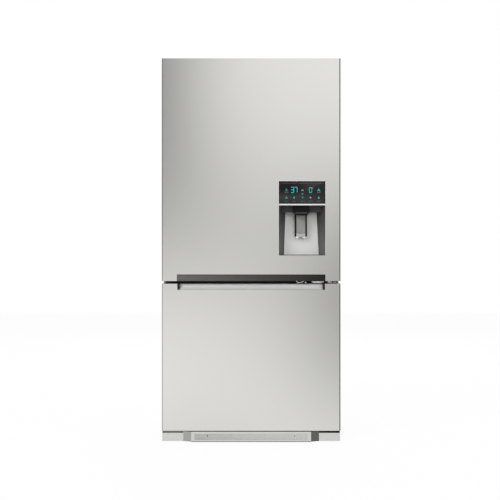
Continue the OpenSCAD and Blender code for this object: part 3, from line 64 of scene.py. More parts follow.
# Camera and studio
# The camera looks straight at the doors from 4.5 m, at half the height of the body.
# The studio is white, with the grey sides that a steel door mirrors, one soft lamp to
# the left, a weaker one to the right and one behind.
FRONT_Y = -0.3475
CAMERA_AWAY = 4.5

lens = bpy.data.cameras.new("camera")
lens.lens = 73.4
lens.sensor_width = 36
camera = bpy.data.objects.new("camera", lens)
camera.location = (-0.005, FRONT_Y - CAMERA_AWAY, 0.849)
camera.rotation_euler = (math.radians(90), 0, 0)
scene.collection.objects.link(camera)
scene.camera = camera


def add(tree, kind, inputs, **settings):
    """A shader node. Inputs are plain values, or the sockets that feed them."""
    made = tree.nodes.new("ShaderNode" + kind)
    for key, value in settings.items():
        setattr(made, key, value)
    for key, value in inputs.items():
        if isinstance(value, bpy.types.NodeSocket):
            tree.links.new(value, made.inputs[key])
        else:
            made.inputs[key].default_value = value
    return made


def between(tree, value, start, end):
    """How far a value has come from a start to an end, as 0 to 1."""
    return add(tree, "MapRange", {0: value, 1: start, 2: end}).outputs[0]


def blend(tree, share, first, second, kind="MIX"):
    """Two colours, blended by a share."""
    return add(tree, "Mix", {0: share, 6: first, 7: second}, data_type="RGBA",
               blend_type=kind).outputs[2]


def tone_ramp(tree, factor, tones):
    """A grey ramp with its tones spread evenly from 0 to 1."""
    made = add(tree, "ValToRGB", {0: factor})
    made.color_ramp.interpolation = "B_SPLINE"
    points = made.color_ramp.elements
    while len(points) < len(tones):
        points.new(0.5)
    for i, tone in enumerate(tones):
        points[i].position = i / (len(tones) - 1)
        points[i].color = (tone, tone, tone * 0.985, 1)
    return made.outputs[0]


# What the doors mirror: for each place sideways, the tones from low to high.
STUDIO_TONES = (
    (-0.1, (0.33, 0.75, 1.08, 1.05, 0.6, 0.22, 0.1, 0.07, 0.08)),
    (-0.035, (0.36, 0.66, 0.97, 0.96, 0.61, 0.7, 1.02, 1.0, 0.8)),
    (0.03, (0.75, 0.9, 1.01, 0.82, 0.62, 0.85, 1.02, 1.0, 0.96)),
    (0.1, (1.35, 1.08, 0.66, 0.21, 0.31, 0.79, 1.03, 1.03, 0.99)),
)

world = bpy.data.worlds.new("studio")
scene.world = world
world.use_nodes = True
sky = world.node_tree
sky.nodes.clear()
where = add(sky, "SeparateXYZ", {0: add(sky, "TexCoord", {}).outputs["Generated"]}).outputs
height = between(sky, where[2], -0.3, 0.3)
ahead, last_x = None, None
for x, tones in STUDIO_TONES:
    column = tone_ramp(sky, height, tones)
    if ahead is None:
        ahead = column
    else:
        ahead = blend(sky, between(sky, where[0], last_x, x), ahead, column)
    last_x = x
# What other faces mirror: tones from left to right, and others for faces that look down.
sideways = between(sky, where[0], -1, 1)
around = tone_ramp(sky, sideways, (0, 0.38, 0.56, 0.68, 0.75, 0.58, 0.34, 0.09, 0.03))
low_around = tone_ramp(sky, sideways, (0.8, 0.4, 0.5, 0.66, 0.76, 0.58, 0.34, 0.05, 0.24))
around = blend(sky, between(sky, where[2], 0.015, -0.065), around, low_around)
around = blend(sky, between(sky, where[2], 0.35, 0.8), around, (0.9, 0.9, 0.9, 1))
mirrored = blend(sky, between(sky, where[1], -0.88, -0.955), around, ahead)
path = add(sky, "LightPath", {}).outputs
seen = add(sky, "Math", {0: path["Is Camera Ray"], 1: path["Is Transmission Ray"]},
           operation="MAXIMUM")
studio_light = blend(sky, path["Is Glossy Ray"], (0.62, 0.62, 0.62, 1), mirrored)
unseen = add(sky, "Background", {0: studio_light, 1: 1.0})
white = add(sky, "Background", {0: (1, 1, 1, 1), 1: 1.0})
shown = add(sky, "MixShader", {0: seen.outputs[0], 1: unseen.outputs[0], 2: white.outputs[0]})
sky.links.new(shown.outputs[0], add(sky, "OutputWorld", {}).inputs[0])


LAMP_AIM = Vector((0, 0, 0.9))


def soft_lamp(name, place, size, watts):
    """A square studio lamp at a place, turned to the middle of the body."""
    lamp = bpy.data.lights.new(name, "AREA")
    lamp.size = size
    lamp.energy = watts
    holder = bpy.data.objects.new(name, lamp)
    holder.location = place
    holder.rotation_euler = (LAMP_AIM - Vector(place)).to_track_quat("-Z", "Y").to_euler()
    holder.visible_glossy = False
    scene.collection.objects.link(holder)


soft_lamp("lamp_left", (-3.2, -4.0, 3.4), 2.4, 150)
soft_lamp("lamp_right", (4.2, -2.6, 2.6), 2.4, 40)
soft_lamp("lamp_back", (0.5, 4.2, 3.6), 2.6, 110)

bm = bmesh.new()
bmesh.ops.create_grid(bm, x_segments=1, y_segments=1, size=9)
floor_mesh = bpy.data.meshes.new("floor")
bm.to_mesh(floor_mesh)
bm.free()
floor = bpy.data.objects.new("floor", floor_mesh)
scene.collection.objects.link(floor)
floor.visible_glossy = False
floor_paint = bpy.data.materials.new("floor_paint")
floor_paint.use_nodes = True
tree = floor_paint.node_tree
tree.nodes.clear()
path = add(tree, "LightPath", {})
lit = add(tree, "MapRange", {0: path.outputs["Is Camera Ray"], 4: 0.95})
mix = add(tree, "MixShader", {0: lit.outputs[0],
                              1: add(tree, "BsdfDiffuse", {0: (0.85, 0.85, 0.85, 1)}).outputs[0],
                              2: add(tree, "Emission", {0: (1, 1, 1, 1), 1: 1.0}).outputs[0]})
tree.links.new(mix.outputs[0], add(tree, "OutputMaterial", {}).inputs[0])
floor_mesh.materials.append(floor_paint)
floor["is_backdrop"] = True


# Cabinet sheet
# The wrapper is one sheet of steel folded over both sides and the top, with the front
# flange that the seals hold. It is silver paint over primer, with a fine orange peel.
def surface_group(name):
    """An empty surface effect: object coordinates in, a mask and a normal out."""
    made = bpy.data.node_groups.new(name, "ShaderNodeTree")
    for socket in ("Scale", "Depth"):
        made.interface.new_socket(socket, in_out="INPUT", socket_type="NodeSocketFloat")
    made.interface.new_socket("Mask", in_out="OUTPUT", socket_type="NodeSocketFloat")
    made.interface.new_socket("Normal", in_out="OUTPUT", socket_type="NodeSocketVector")
    given = made.nodes.new("NodeGroupInput")
    place = add(made, "TexCoord", {}).outputs["Object"]
    return made, given, place


def close_group(made, mask, height, depth, distance):
    """Ends a surface effect with its mask, and its height as a bump."""
    bump = add(made, "Bump", {"Height": height, "Strength": depth, "Distance": distance})
    out = made.nodes.new("NodeGroupOutput")
    made.links.new(mask, out.inputs["Mask"])
    made.links.new(bump.outputs[0], out.inputs["Normal"])
    return made


group, given, place = surface_group("fine_grain")
grain = add(group, "TexNoise", {"Vector": place, "Scale": given.outputs["Scale"], "Detail": 3.0})
cloud = add(group, "TexNoise", {"Vector": place, "Scale": 7.0, "Detail": 4.0, "Roughness": 0.6})
fleck = add(group, "TexNoise", {"Vector": place, "Scale": 160.0, "Detail": 2.0})
mask = add(group, "Math", {0: fleck.outputs[0], 1: 0.35, 2: cloud.outputs[0]},
           operation="MULTIPLY_ADD")
mask = add(group, "MapRange", {0: mask.outputs[0], 1: 0.42, 2: 0.92})
FINE_GRAIN = close_group(group, mask.outputs[0], grain.outputs[0], given.outputs["Depth"], 0.0002)


def finish(name, scale, depth, tones, roughs, group=FINE_GRAIN, **constants):
    """A material whose colour and roughness lie between two tones and two roughnesses."""
    made = bpy.data.materials.new(name)
    made.use_nodes = True
    tree = made.node_tree
    shader = tree.nodes["Principled BSDF"]
    effect = tree.nodes.new("ShaderNodeGroup")
    effect.node_tree = group
    effect.inputs["Scale"].default_value = scale
    effect.inputs["Depth"].default_value = depth
    mask = effect.outputs["Mask"]
    colour = blend(tree, mask, (*tones[0], 1), (*tones[1], 1))
    rough = add(tree, "MapRange", {0: mask, 3: roughs[0], 4: roughs[1]})
    tree.links.new(colour, shader.inputs["Base Color"])
    tree.links.new(rough.outputs[0], shader.inputs["Roughness"])
    tree.links.new(effect.outputs["Normal"], shader.inputs["Normal"])
    for key, value in constants.items():
        shader.inputs[key.replace("_", " ")].default_value = value
    return made


def dress(material, *nodes, edge=None, steps=2):
    """Gives CAD nodes their finish, and rounds their sharp edges where a width is given."""
    for node in nodes:
        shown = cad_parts[node]
        shown.data.materials.clear()
        shown.data.materials.append(material)
        if edge is None:
            continue
        shown.modifiers.new("weld", "WELD").merge_threshold = 0.00001
        bevel = shown.modifiers.new("soft_edges", "BEVEL")
        bevel.width = edge
        bevel.segments = steps
        bevel.limit_method = "ANGLE"
        bevel.angle_limit = math.radians(50)
        bevel.harden_normals = True


silver_paint = finish(
    "silver_paint", 900.0, 0.25, ((0.4, 0.4, 0.4), (0.45, 0.45, 0.445)), (0.34, 0.44),
    Metallic=0.55, Coat_Weight=0.15)
dress(silver_paint, "cabinet_shell")


# Back sheets and rear cover
# The back is one flat galvanised sheet with pressed ribs, and below it a folded sheet
# roofs the machine room. A dark louvred cover is screwed over the opening.
group, given, place = surface_group("zinc_spangle")
crystals = add(group, "TexVoronoi", {"Vector": place, "Scale": given.outputs["Scale"],
                                     "Randomness": 1.0})
cloud = add(group, "TexNoise", {"Vector": place, "Scale": 5.0, "Detail": 3.0})
facet = add(group, "SeparateColor", {0: crystals.outputs["Color"]})
mask = add(group, "Mix", {0: 0.35, 2: facet.outputs[0], 3: cloud.outputs[0]}, data_type="FLOAT")
SPANGLE = close_group(group, mask.outputs[0], facet.outputs[1], given.outputs["Depth"], 0.0001)

zinc_sheet = finish(
    "zinc_sheet", 90.0, 0.12, ((0.5, 0.51, 0.52), (0.62, 0.63, 0.64)), (0.38, 0.52), group=SPANGLE,
    Metallic=0.85)
dark_plastic = finish(
    "dark_plastic", 1500.0, 0.35, ((0.03, 0.03, 0.032), (0.045, 0.045, 0.048)), (0.42, 0.58))
dress(zinc_sheet, "back_panels")
dress(dark_plastic, "rear_cover", "cord_gland")


def cube(bm, low, high):
    """A box between two corners, with sharp edges."""
    low, high = Vector(low), Vector(high)
    made = bmesh.ops.create_cube(bm, size=1)["verts"]
    bmesh.ops.scale(bm, vec=high - low, verts=made)
    bmesh.ops.translate(bm, vec=(high + low) / 2, verts=made)
    return made


def block(bm, low, high, edge, segments=2):
    """A box between two corners, with its edges rounded."""
    made = cube(bm, low, high)
    edges = list({e for v in made for e in v.link_edges})
    bmesh.ops.bevel(bm, geom=edges, offset=edge, segments=segments, profile=0.5,
                    affect="EDGES", material=-1)


UP, FORWARD, BACKWARD = (0, 0, 1), (0, -1, 0), (0, 1, 0)


def turned(bm, profile, foot, axis, segments=32):
    """A turned shape: a profile of (radius, distance) points spun round an axis from a foot."""
    axis = Vector(axis).normalized()
    side = axis.orthogonal().normalized()
    points = [bm.verts.new(Vector(foot) + side * r + axis * d) for r, d in profile]
    rim = [bm.edges.new(pair) for pair in zip(points, points[1:])]
    bmesh.ops.spin(bm, geom=points + rim, cent=foot, axis=axis, dvec=(0, 0, 0),
                   angle=math.tau, steps=segments, use_merge=True)
    bmesh.ops.remove_doubles(bm, verts=bm.verts, dist=0.000005)


def screw_head(bm, seat, axis, radius=0.0038):
    """A pan-head screw with a cross recess, seated at a point."""
    turned(bm, ((0, -0.001), (radius, -0.001), (radius, radius * 0.25),
                (radius * 0.75, radius * 0.5), (radius * 0.3, radius * 0.56),
                (radius * 0.22, radius * 0.2), (0, radius * 0.2)), seat, axis, 16)


def piece(name, bm, material, body, angle=35):
    """Makes a bmesh an object with its finish, riding on a body."""
    bmesh.ops.recalc_face_normals(bm, faces=bm.faces)
    mesh = bpy.data.meshes.new(name)
    bm.to_mesh(mesh)
    bm.free()
    mesh.shade_smooth()
    mesh.set_sharp_from_angle(angle=math.radians(angle))
    mesh.materials.append(material)
    made = bpy.data.objects.new(name, mesh)
    scene.collection.objects.link(made)
    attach(made, body)
    return made


zinc_screw = finish(
    "zinc_screw", 1200.0, 0.2, ((0.66, 0.65, 0.62), (0.74, 0.73, 0.7)), (0.22, 0.34), Metallic=1.0)
bm = bmesh.new()
cover_low, cover_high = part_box("rear_cover")
back_face = cad_high.y - 0.008
for x in (-0.37, -0.19, 0, 0.19, 0.37):
    screw_head(bm, (x, back_face + 0.002, cover_high.z - 0.008), BACKWARD)
for x in (-0.37, 0.37):
    screw_head(bm, (x, back_face + 0.002, cover_low.z + 0.01), BACKWARD)
for x in (-0.375, 0.375):
    for z in (0.42, 0.74, 1.06, 1.38, 1.66):
        screw_head(bm, (x, back_face, z), BACKWARD)
piece("rear_screws", bm, zinc_screw, "cabinet")

bm = bmesh.new()
for z0, z1 in ((0.36, 0.74), (0.8, 1.18), (1.24, 1.62)):
    for x0, x1 in ((-0.33, -0.03), (0.03, 0.33)):
        block(bm, (x0, back_face - 0.0006, z0), (x1, back_face + 0.0022, z1), 0.002, 3)
        block(bm, (x0 + 0.03, back_face, z0 + 0.03), (x1 - 0.03, back_face + 0.0044, z1 - 0.03),
              0.002, 3)
piece("back_ribs", bm, zinc_sheet, "cabinet")


# Insulation and liners
# Polyurethane foam sets between the sheets and the liners and glues the walls into one.
# The liners are white polystyrene, drawn over moulds, with a slight eggshell grain.
insulation_foam = finish(
    "insulation_foam", 260.0, 0.6, ((0.64, 0.53, 0.29), (0.77, 0.67, 0.41)), (0.8, 0.95))
liner_plastic = finish(
    "liner_plastic", 700.0, 0.18, ((0.74, 0.75, 0.75), (0.79, 0.8, 0.8)), (0.26, 0.38))
dress(insulation_foam, "cabinet_foam", "fridge_door_foam", "freezer_front_foam")
dress(liner_plastic, "fridge_liner", "freezer_liner", "fridge_door_liner",
      "freezer_front_liner", edge=0.0012, steps=3)


# Chassis, feet and rollers
# Folded plates carry the body, painted near-black, partly as painted shade for the gap under
# the drawer. Two levelling feet screw into welded nuts at the front, and two plastic rollers
# turn in the forks of the floor plate at the back.
black_rubber = finish(
    "black_rubber", 1800.0, 0.5, ((0.02, 0.02, 0.02), (0.034, 0.033, 0.032)), (0.62, 0.82))
# Near-black paint, partly a painted shade for the gaps under the drawer and between the doors.
dark_paint_and_gap_shade = finish(
    "dark_paint_and_gap_shade", 700.0, 0.3, ((0.055, 0.055, 0.056), (0.08, 0.08, 0.08)), (0.45, 0.6))
dress(dark_paint_and_gap_shade, "base_frame", edge=0.0005)
dress(dark_plastic, "left_foot", "right_foot", "left_roller", "right_roller")

THREAD_PITCH = 0.0018
for foot in ("left_foot", "right_foot"):
    low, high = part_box(foot)
    ground = ((low.x + high.x) / 2, (low.y + high.y) / 2, 0)
    bm = bmesh.new()
    ridges = []
    for i in range(14):
        z = 0.018 + i * THREAD_PITCH
        ridges += [(0.0058, z), (0.0066, z + THREAD_PITCH / 2)]
    turned(bm, ridges + [(0.0058, 0.0432)], ground, UP, 24)
    piece(foot + "_thread", bm, zinc_screw, foot)
    bm = bmesh.new()
    turned(bm, ((0, 0.0092), (0.016, 0.0092), (0.0183, 0.0075), (0.0186, 0.003),
                (0.0176, 0.0004), (0, 0.0004)), ground, UP, 48)
    piece(foot + "_pad", bm, black_rubber, foot)

for side, roller in ((-1, "left_roller"), (1, "right_roller")):
    low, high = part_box(roller)
    middle = (low + high) / 2
    for face in (-1, 1):
        bm = bmesh.new()
        turned(bm, ((0.0055, 0), (0.0055, 0.0006), (0.007, 0.0008), (0.0078, 0),
                    (0.011, 0), (0.0118, 0.0008), (0.0138, 0.0008), (0.0142, 0)),
               (middle.x + face * (high.x - low.x) / 2, middle.y, middle.z), (face, 0, 0))
        piece(roller + ("_rim_in" if face == -side else "_rim_out"), bm, dark_plastic, roller)


# Plinth
# One moulding clips to the front rail: a middle panel that stands proud over a grey lip,
# which is a painted shadow line along the floor, two sloping ends and two flat wings, all in
# silver paint. Two small screws hold it, and dark strips between the wings and the drawer
# are painted shade, darker to the right.
plinth_paint = finish(
    "plinth_paint", 1100.0, 0.2, ((0.74, 0.74, 0.74), (0.79, 0.79, 0.785)), (0.17, 0.22),
    Metallic=1.0)
dress(plinth_paint, "plinth", edge=0.0008)
low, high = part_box("plinth")


def folded_sheet(bm, line, half, thickness):
    """A thin sheet folded along a line of (y, z) points, reaching half its length each way."""
    points = [bm.verts.new((-half, y, z)) for y, z in line]
    runs = [bm.edges.new(pair) for pair in zip(points, points[1:])]
    grown = bmesh.ops.extrude_edge_only(bm, edges=runs)["geom"]
    bmesh.ops.translate(bm, vec=(2 * half, 0, 0),
                        verts=[v for v in grown if isinstance(v, bmesh.types.BMVert)])
    bmesh.ops.recalc_face_normals(bm, faces=bm.faces)
    bmesh.ops.solidify(bm, geom=bm.faces[:], thickness=thickness)


RIB_PITCH, RIB_HALF = 0.0052, 0.2505
rib_line = []
for i in range(5):
    z = 0.0105 + i * RIB_PITCH
    rib_line += [(low.y + 0.0004, z), (low.y - 0.0009, z + 0.0008), (low.y - 0.0004, z + 0.0046)]
bm = bmesh.new()
folded_sheet(bm, rib_line + [(low.y + 0.0004, 0.0366)], RIB_HALF, 0.0004)
piece("plinth_ribs", bm, plinth_paint, "cabinet", 20)
bm = bmesh.new()
for x in (-0.193, 0.193):
    screw_head(bm, (x, low.y - 0.0008, 0.0275), FORWARD, 0.0026)
piece("plinth_screws", bm, dark_plastic, "cabinet")
# A grey strip along the plinth's foot: a painted shadow line on the floor.
floor_shadow_lip = finish("floor_shadow_lip", 1500.0, 0.3, ((0.2, 0.2, 0.2), (0.24, 0.24, 0.24)), (0.5, 0.62))
LIP_HALF = 0.264
bm = bmesh.new()
block(bm, (-LIP_HALF, low.y - 0.0005, 0.0004), (LIP_HALF, low.y + 0.0024, 0.004), 0.0004)
piece("plinth_shadow_line", bm, floor_shadow_lip, "cabinet")


def coloured(material):
    """A finish's tree, its shader, and the socket that its colour comes from."""
    tree = material.node_tree
    shader = tree.nodes["Principled BSDF"]
    return tree, shader, shader.inputs["Base Color"].links[0].from_socket


def paint_light_and_shade(material, axis, start, end, first, last):
    """Paints light and shade into a finish along one axis of its piece, from one share of its
    colour to another.
    """
    tree, shader, colour = coloured(material)
    place = add(tree, "SeparateXYZ", {0: add(tree, "TexCoord", {}).outputs["Object"]}).outputs
    share = add(tree, "MapRange", {0: place[axis], 1: start, 2: end, 3: first, 4: last}).outputs[0]
    tree.links.new(blend(tree, 1.0, colour, share, "MULTIPLY"), shader.inputs["Base Color"])


# Painted shade: dark strips fill the gap between the wings and the drawer, and grow darker to the
# right, as under a lamp on the left.
wing_gap_shade = finish(
    "wing_gap_shade", 1500.0, 0.2, ((0.22, 0.22, 0.22), (0.25, 0.25, 0.25)), (0.28, 0.36), Metallic=1.0)
paint_light_and_shade(wing_gap_shade, 0, -0.36, 0.34, 1.0, 0.07)
WING_FRONT, WING_START = -0.3275, 0.301
DRAWER_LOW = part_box("freezer_front_skin")[0].z
bm = bmesh.new()
for x0, x1 in ((low.x + 0.0006, -WING_START), (WING_START, high.x - 0.0006)):
    block(bm, (x0, WING_FRONT - 0.0005, 0.0382), (x1, WING_FRONT + 0.002, DRAWER_LOW - 0.002),
          0.0006)
piece("plinth_wing_shade_strips", bm, wing_gap_shade, "cabinet")


# Compressor
# A black-painted steel pot, welded round its middle, stands on four rubber grommets.
# Brazed copper tubes lead off, and a clipped cover hides the terminals on its side.
BEND_STEPS = 6


def pipe(name, points, radius, material, body, bend=0.01):
    """A round tube along straight runs, with its corners bent to a radius."""
    path = [Vector(points[0])]
    for before, at, after in zip(points, points[1:], points[2:]):
        at = Vector(at)
        lead = at + (Vector(before) - at).normalized() * bend
        leave = at + (Vector(after) - at).normalized() * bend
        for i in range(BEND_STEPS + 1):
            t = i / BEND_STEPS
            path.append(lead * (1 - t) ** 2 + at * 2 * t * (1 - t) + leave * t ** 2)
    path.append(Vector(points[-1]))
    curve = bpy.data.curves.new(name + "_run", "CURVE")
    curve.dimensions = "3D"
    curve.bevel_depth = radius
    curve.bevel_resolution = 3
    curve.use_fill_caps = True
    run = curve.splines.new("POLY")
    run.points.add(len(path) - 1)
    for point, place in zip(run.points, path):
        point.co = (*place, 1)
    holder = bpy.data.objects.new(name + "_run", curve)
    scene.collection.objects.link(holder)
    bm = bmesh.new()
    bm.from_mesh(holder.to_mesh())
    holder.to_mesh_clear()
    bpy.data.objects.remove(holder)
    bmesh.ops.remove_doubles(bm, verts=bm.verts, dist=0.00001)
    piece(name, bm, material, body, 60)


black_enamel = finish(
    "black_enamel", 420.0, 0.35, ((0.012, 0.012, 0.013), (0.022, 0.022, 0.023)), (0.28, 0.44))
copper = finish(
    "copper", 500.0, 0.15, ((0.72, 0.38, 0.24), (0.84, 0.52, 0.36)), (0.24, 0.4), Metallic=1.0)
low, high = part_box("compressor")
POT = Vector((-0.18, 0.232, low.z))
POT_FEET = [POT + Vector((x, y, 0)) for x in (-0.076, 0.076) for y in (-0.04, 0.04)]
bm = bmesh.new()
turned(bm, ((0, 0.0115), (0.05, 0.0115), (0.066, 0.016), (0.0755, 0.03), (0.0775, 0.048),
            (0.0775, 0.085), (0.0768, 0.0862), (0.0768, 0.089), (0.0805, 0.0896),
            (0.0808, 0.0925), (0.078, 0.095), (0.0768, 0.096), (0.0755, 0.124),
            (0.07, 0.142), (0.056, 0.156), (0.033, 0.161), (0, 0.1618)), POT, UP, 72)
pot = piece("compressor_pot", bm, black_enamel, "cabinet")
bm = bmesh.new()
block(bm, (low.x, POT.y - 0.05, low.z + 0.008), (high.x - 0.004, POT.y + 0.05, low.z + 0.0118),
      0.0014, 3)
foot_plate = piece("compressor_plate", bm, black_enamel, "cabinet")
bm = bmesh.new()
for foot in POT_FEET:
    turned(bm, ((0, 0), (0.0098, 0), (0.0104, 0.0024), (0.0086, 0.0044), (0.0104, 0.0064),
                (0.0104, 0.0084), (0.008, 0.009), (0.008, 0.0122), (0.0104, 0.0128),
                (0.0096, 0.015), (0, 0.015)), foot, UP, 28)
grommets = piece("compressor_grommets", bm, black_rubber, "cabinet")
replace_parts(pot, "compressor")
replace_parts(foot_plate, "compressor")
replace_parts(grommets, "compressor")
bm = bmesh.new()
for foot in POT_FEET:
    turned(bm, ((0, 0.015), (0.007, 0.015), (0.007, 0.0158), (0.0042, 0.0158),
                (0.0042, 0.0205), (0.0032, 0.0212), (0, 0.0212)), foot, UP, 6)
piece("compressor_nuts", bm, zinc_screw, "cabinet")
bm = bmesh.new()
block(bm, (POT.x - 0.1, POT.y - 0.034, low.z + 0.05),
      (POT.x - 0.066, POT.y + 0.034, low.z + 0.118), 0.006, 4)
block(bm, (POT.x - 0.1035, POT.y - 0.012, low.z + 0.06),
      (POT.x - 0.095, POT.y + 0.012, low.z + 0.108), 0.002, 3)
piece("terminal_cover", bm, dark_plastic, "cabinet")
pipe("delivery_tube", ((-0.108, 0.256, 0.136), (-0.052, 0.256, 0.136), (-0.052, 0.256, 0.232),
                       (0.072, 0.2715, 0.232), (0.072, 0.2715, 0.19), (0.09, 0.2715, 0.19)),
     0.0032, copper, "cabinet")
pipe("suction_tube", ((-0.108, 0.232, 0.156), (-0.06, 0.232, 0.156), (-0.06, 0.232, 0.224),
                      (-0.06, 0.1275, 0.224)), 0.004, copper, "cabinet", 0.014)
pipe("filling_tube", ((-0.214, 0.196, 0.16), (-0.234, 0.176, 0.16), (-0.234, 0.176, 0.214)),
     0.0032, copper, "cabinet")


# Condenser and its fan
# A steel tube runs to and fro through a pack of thin aluminium fins between two end
# plates. A plastic fan on its own motor draws air through it, and a dryer closes the run.
fin_metal = finish(
    "fin_metal", 600.0, 0.2, ((0.62, 0.63, 0.64), (0.74, 0.75, 0.76)), (0.28, 0.42), Metallic=0.95)
dress(fin_metal, "condenser")
COIL_ROWS = [0.082 + 0.036 * i for i in range(4)]
COIL_COLS = (0.1825, 0.227, 0.2715)
COIL_LEFT, COIL_RIGHT = 0.086, 0.306
TUBE_RADIUS, SOCKET = 0.0036, 0.004
FIN_THICKNESS = 0.0003


def fins(bm, count, start, pitch, low, high):
    """A pack of thin fins side by side along x, each between two corners (y, z)."""
    for i in range(count):
        x = start + i * pitch
        block(bm, (x, *low), (x + FIN_THICKNESS, *high), 0.0001, 1)


bm = bmesh.new()
fins(bm, 46, 0.0965, 0.00446, (0.161, 0.068), (0.293, 0.206))
piece("condenser_fins", bm, fin_metal, "cabinet")


def hairpin(bm, start, end, out):
    """A half-round tube bend on its sockets, joining two tube ends and bulging outwards."""
    start, end, out = Vector(start), Vector(end), Vector(out)
    lay = out.to_track_quat("Z", "Y").to_matrix().to_4x4()
    ring = bmesh.ops.create_circle(bm, segments=12, radius=TUBE_RADIUS,
                                   matrix=Matrix.Translation(start) @ lay)["verts"]
    edges = list({e for v in ring for e in v.link_edges})
    bmesh.ops.spin(bm, geom=ring + edges, cent=(start + end) / 2, dvec=(0, 0, 0),
                   axis=(end - start).cross(out).normalized(), angle=-math.pi, steps=12,
                   use_merge=False)
    tail = bmesh.ops.create_circle(bm, segments=12, radius=TUBE_RADIUS * 1.12, cap_ends=True,
                                   matrix=Matrix.Translation(start - out * SOCKET) @ lay)["verts"]
    sides = list({e for v in tail for e in v.link_edges if len(e.link_faces) == 1})
    grown = bmesh.ops.extrude_edge_only(bm, edges=sides)["geom"]
    bmesh.ops.translate(bm, vec=out * SOCKET,
                        verts=[v for v in grown if isinstance(v, bmesh.types.BMVert)])


bm = bmesh.new()
for y in COIL_COLS:
    for row in (0, 2):
        hairpin(bm, (COIL_RIGHT, y, COIL_ROWS[row]), (COIL_RIGHT, y, COIL_ROWS[row + 1]), (1, 0, 0))
    hairpin(bm, (COIL_LEFT, y, COIL_ROWS[1]), (COIL_LEFT, y, COIL_ROWS[2]), (-1, 0, 0))
piece("condenser_bends", bm, copper, "cabinet")
bm = bmesh.new()
turned(bm, ((0, 0), (0.003, 0), (0.0036, 0.01), (0.009, 0.018), (0.0095, 0.07),
            (0.0085, 0.076), (0.0034, 0.086), (0.0028, 0.094), (0, 0.094)),
       (0.344, 0.162, 0.046), (0, 1, 0.1), 28)
piece("dryer", bm, copper, "cabinet")
pipe("liquid_tube", ((0.09, 0.1825, 0.082), (0.07, 0.1825, 0.082), (0.07, 0.144, 0.06),
                     (0.344, 0.144, 0.0452), (0.344, 0.166, 0.0462)), 0.0026, copper, "cabinet")
pipe("capillary_tube", ((0.344, 0.252, 0.055), (0.344, 0.275, 0.0575), (0.33, 0.275, 0.15),
                        (0.33, 0.16, 0.235), (0.33, 0.1275, 0.24)), 0.0012, copper,
     "cabinet")


BLADES = 5


def fan_wheel(name, node, centre, axis, radius, hub, depth, material):
    """A moulded fan wheel: a domed hub and swept blades that twist as they go out."""
    axis, side = Vector(axis), Vector(UP)
    bm = bmesh.new()
    rim = ((0, 0.5), (0.55, 0.47), (0.9, 0.38), (1.0, 0.24), (1.0, -0.5), (0.86, -0.5),
           (0.84, 0.2), (0, 0.28))
    turned(bm, [(r * hub, d * depth) for r, d in rim], centre, axis, 48)
    for blade in range(BLADES):
        around = Matrix.Rotation(math.tau * blade / BLADES, 3, axis)
        rows = []
        for i in range(9):
            share = i / 8
            r = hub * 0.96 + (radius - hub * 0.96) * share
            row = []
            for j in range(7):
                across = j / 6 - 0.5
                sweep = across * (1.05 - 0.25 * share) + 0.42 * share * share
                lift = (across * 0.92 + 0.16 * math.cos(across * math.pi)) * depth * 0.86
                spot = Matrix.Rotation(sweep, 3, axis) @ (side * r)
                row.append(bm.verts.new(Vector(centre) + around @ spot + axis * lift))
            rows.append(row)
        skin = [bm.faces.new((a[j], a[j + 1], b[j + 1], b[j]))
                for a, b in zip(rows, rows[1:]) for j in range(6)]
        bmesh.ops.solidify(bm, geom=skin, thickness=0.0012)
    made = piece(name, bm, material, node, 40)
    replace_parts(made, node)


low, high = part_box("condenser_fan")
CENTRE = (low + high) / 2
fan_wheel("condenser_fan_wheel", "condenser_fan", (CENTRE.x, 0.232, 0.12), (1, 0, 0),
          radius=0.0605, hub=0.0175, depth=high.x - low.x, material=dark_plastic)


# Drain pan, water valve and mains gland
# Melt water drips into a plastic pan beside the condenser, whose heat dries it. The water
# line screws on a solenoid valve, and the mains lead leaves through a gland.
white_plastic = finish(
    "white_plastic", 1100.0, 0.25, ((0.66, 0.66, 0.65), (0.73, 0.73, 0.72)), (0.32, 0.44))
dress(dark_plastic, "drain_pan", edge=0.001)
dress(white_plastic, "water_valve", edge=0.0008)
bm = bmesh.new()
for z in (0.182, 0.198):
    screw_head(bm, (0.386, 0.2975, z), FORWARD, 0.0034)
for x in (0.326, 0.356):
    screw_head(bm, (x, 0.2935, 0.178), FORWARD, 0.0026)
piece("valve_screws", bm, zinc_screw, "cabinet")
bm = bmesh.new()
turned(bm, ((0.0148, 0), (0.0152, 0.0015), (0.0152, 0.0265), (0.0148, 0.028), (0.006, 0.0285),
            (0.006, 0.0325), (0, 0.0325)), (0.341, 0.3105, 0.2095), UP, 40)
piece("valve_winding", bm, dark_plastic, "cabinet")


# Cold coil of the freezer
# The evaporator is a finned aluminium tube behind a white cover. Its fan hangs on the
# cover's motor and blows cold air out of the upper slots and up the duct of the fridge.
dress(fin_metal, "evaporator")
dress(liner_plastic, "evaporator_cover", edge=0.0006)
bm = bmesh.new()
fins(bm, 80, -0.268, 0.00678, (0.227, 0.343), (0.27, 0.531))
piece("evaporator_fins", bm, fin_metal, "cabinet")
grey_light = finish(
    "grey_light", 1200.0, 0.25, ((0.5, 0.51, 0.52), (0.56, 0.57, 0.58)), (0.34, 0.46))
low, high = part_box("evaporator_fan")
CENTRE = (low + high) / 2
fan_wheel("evaporator_fan_wheel", "evaporator_fan", (0, CENTRE.y, 0.613), FORWARD,
          radius=0.0455, hub=0.0135, depth=high.y - low.y, material=grey_light)


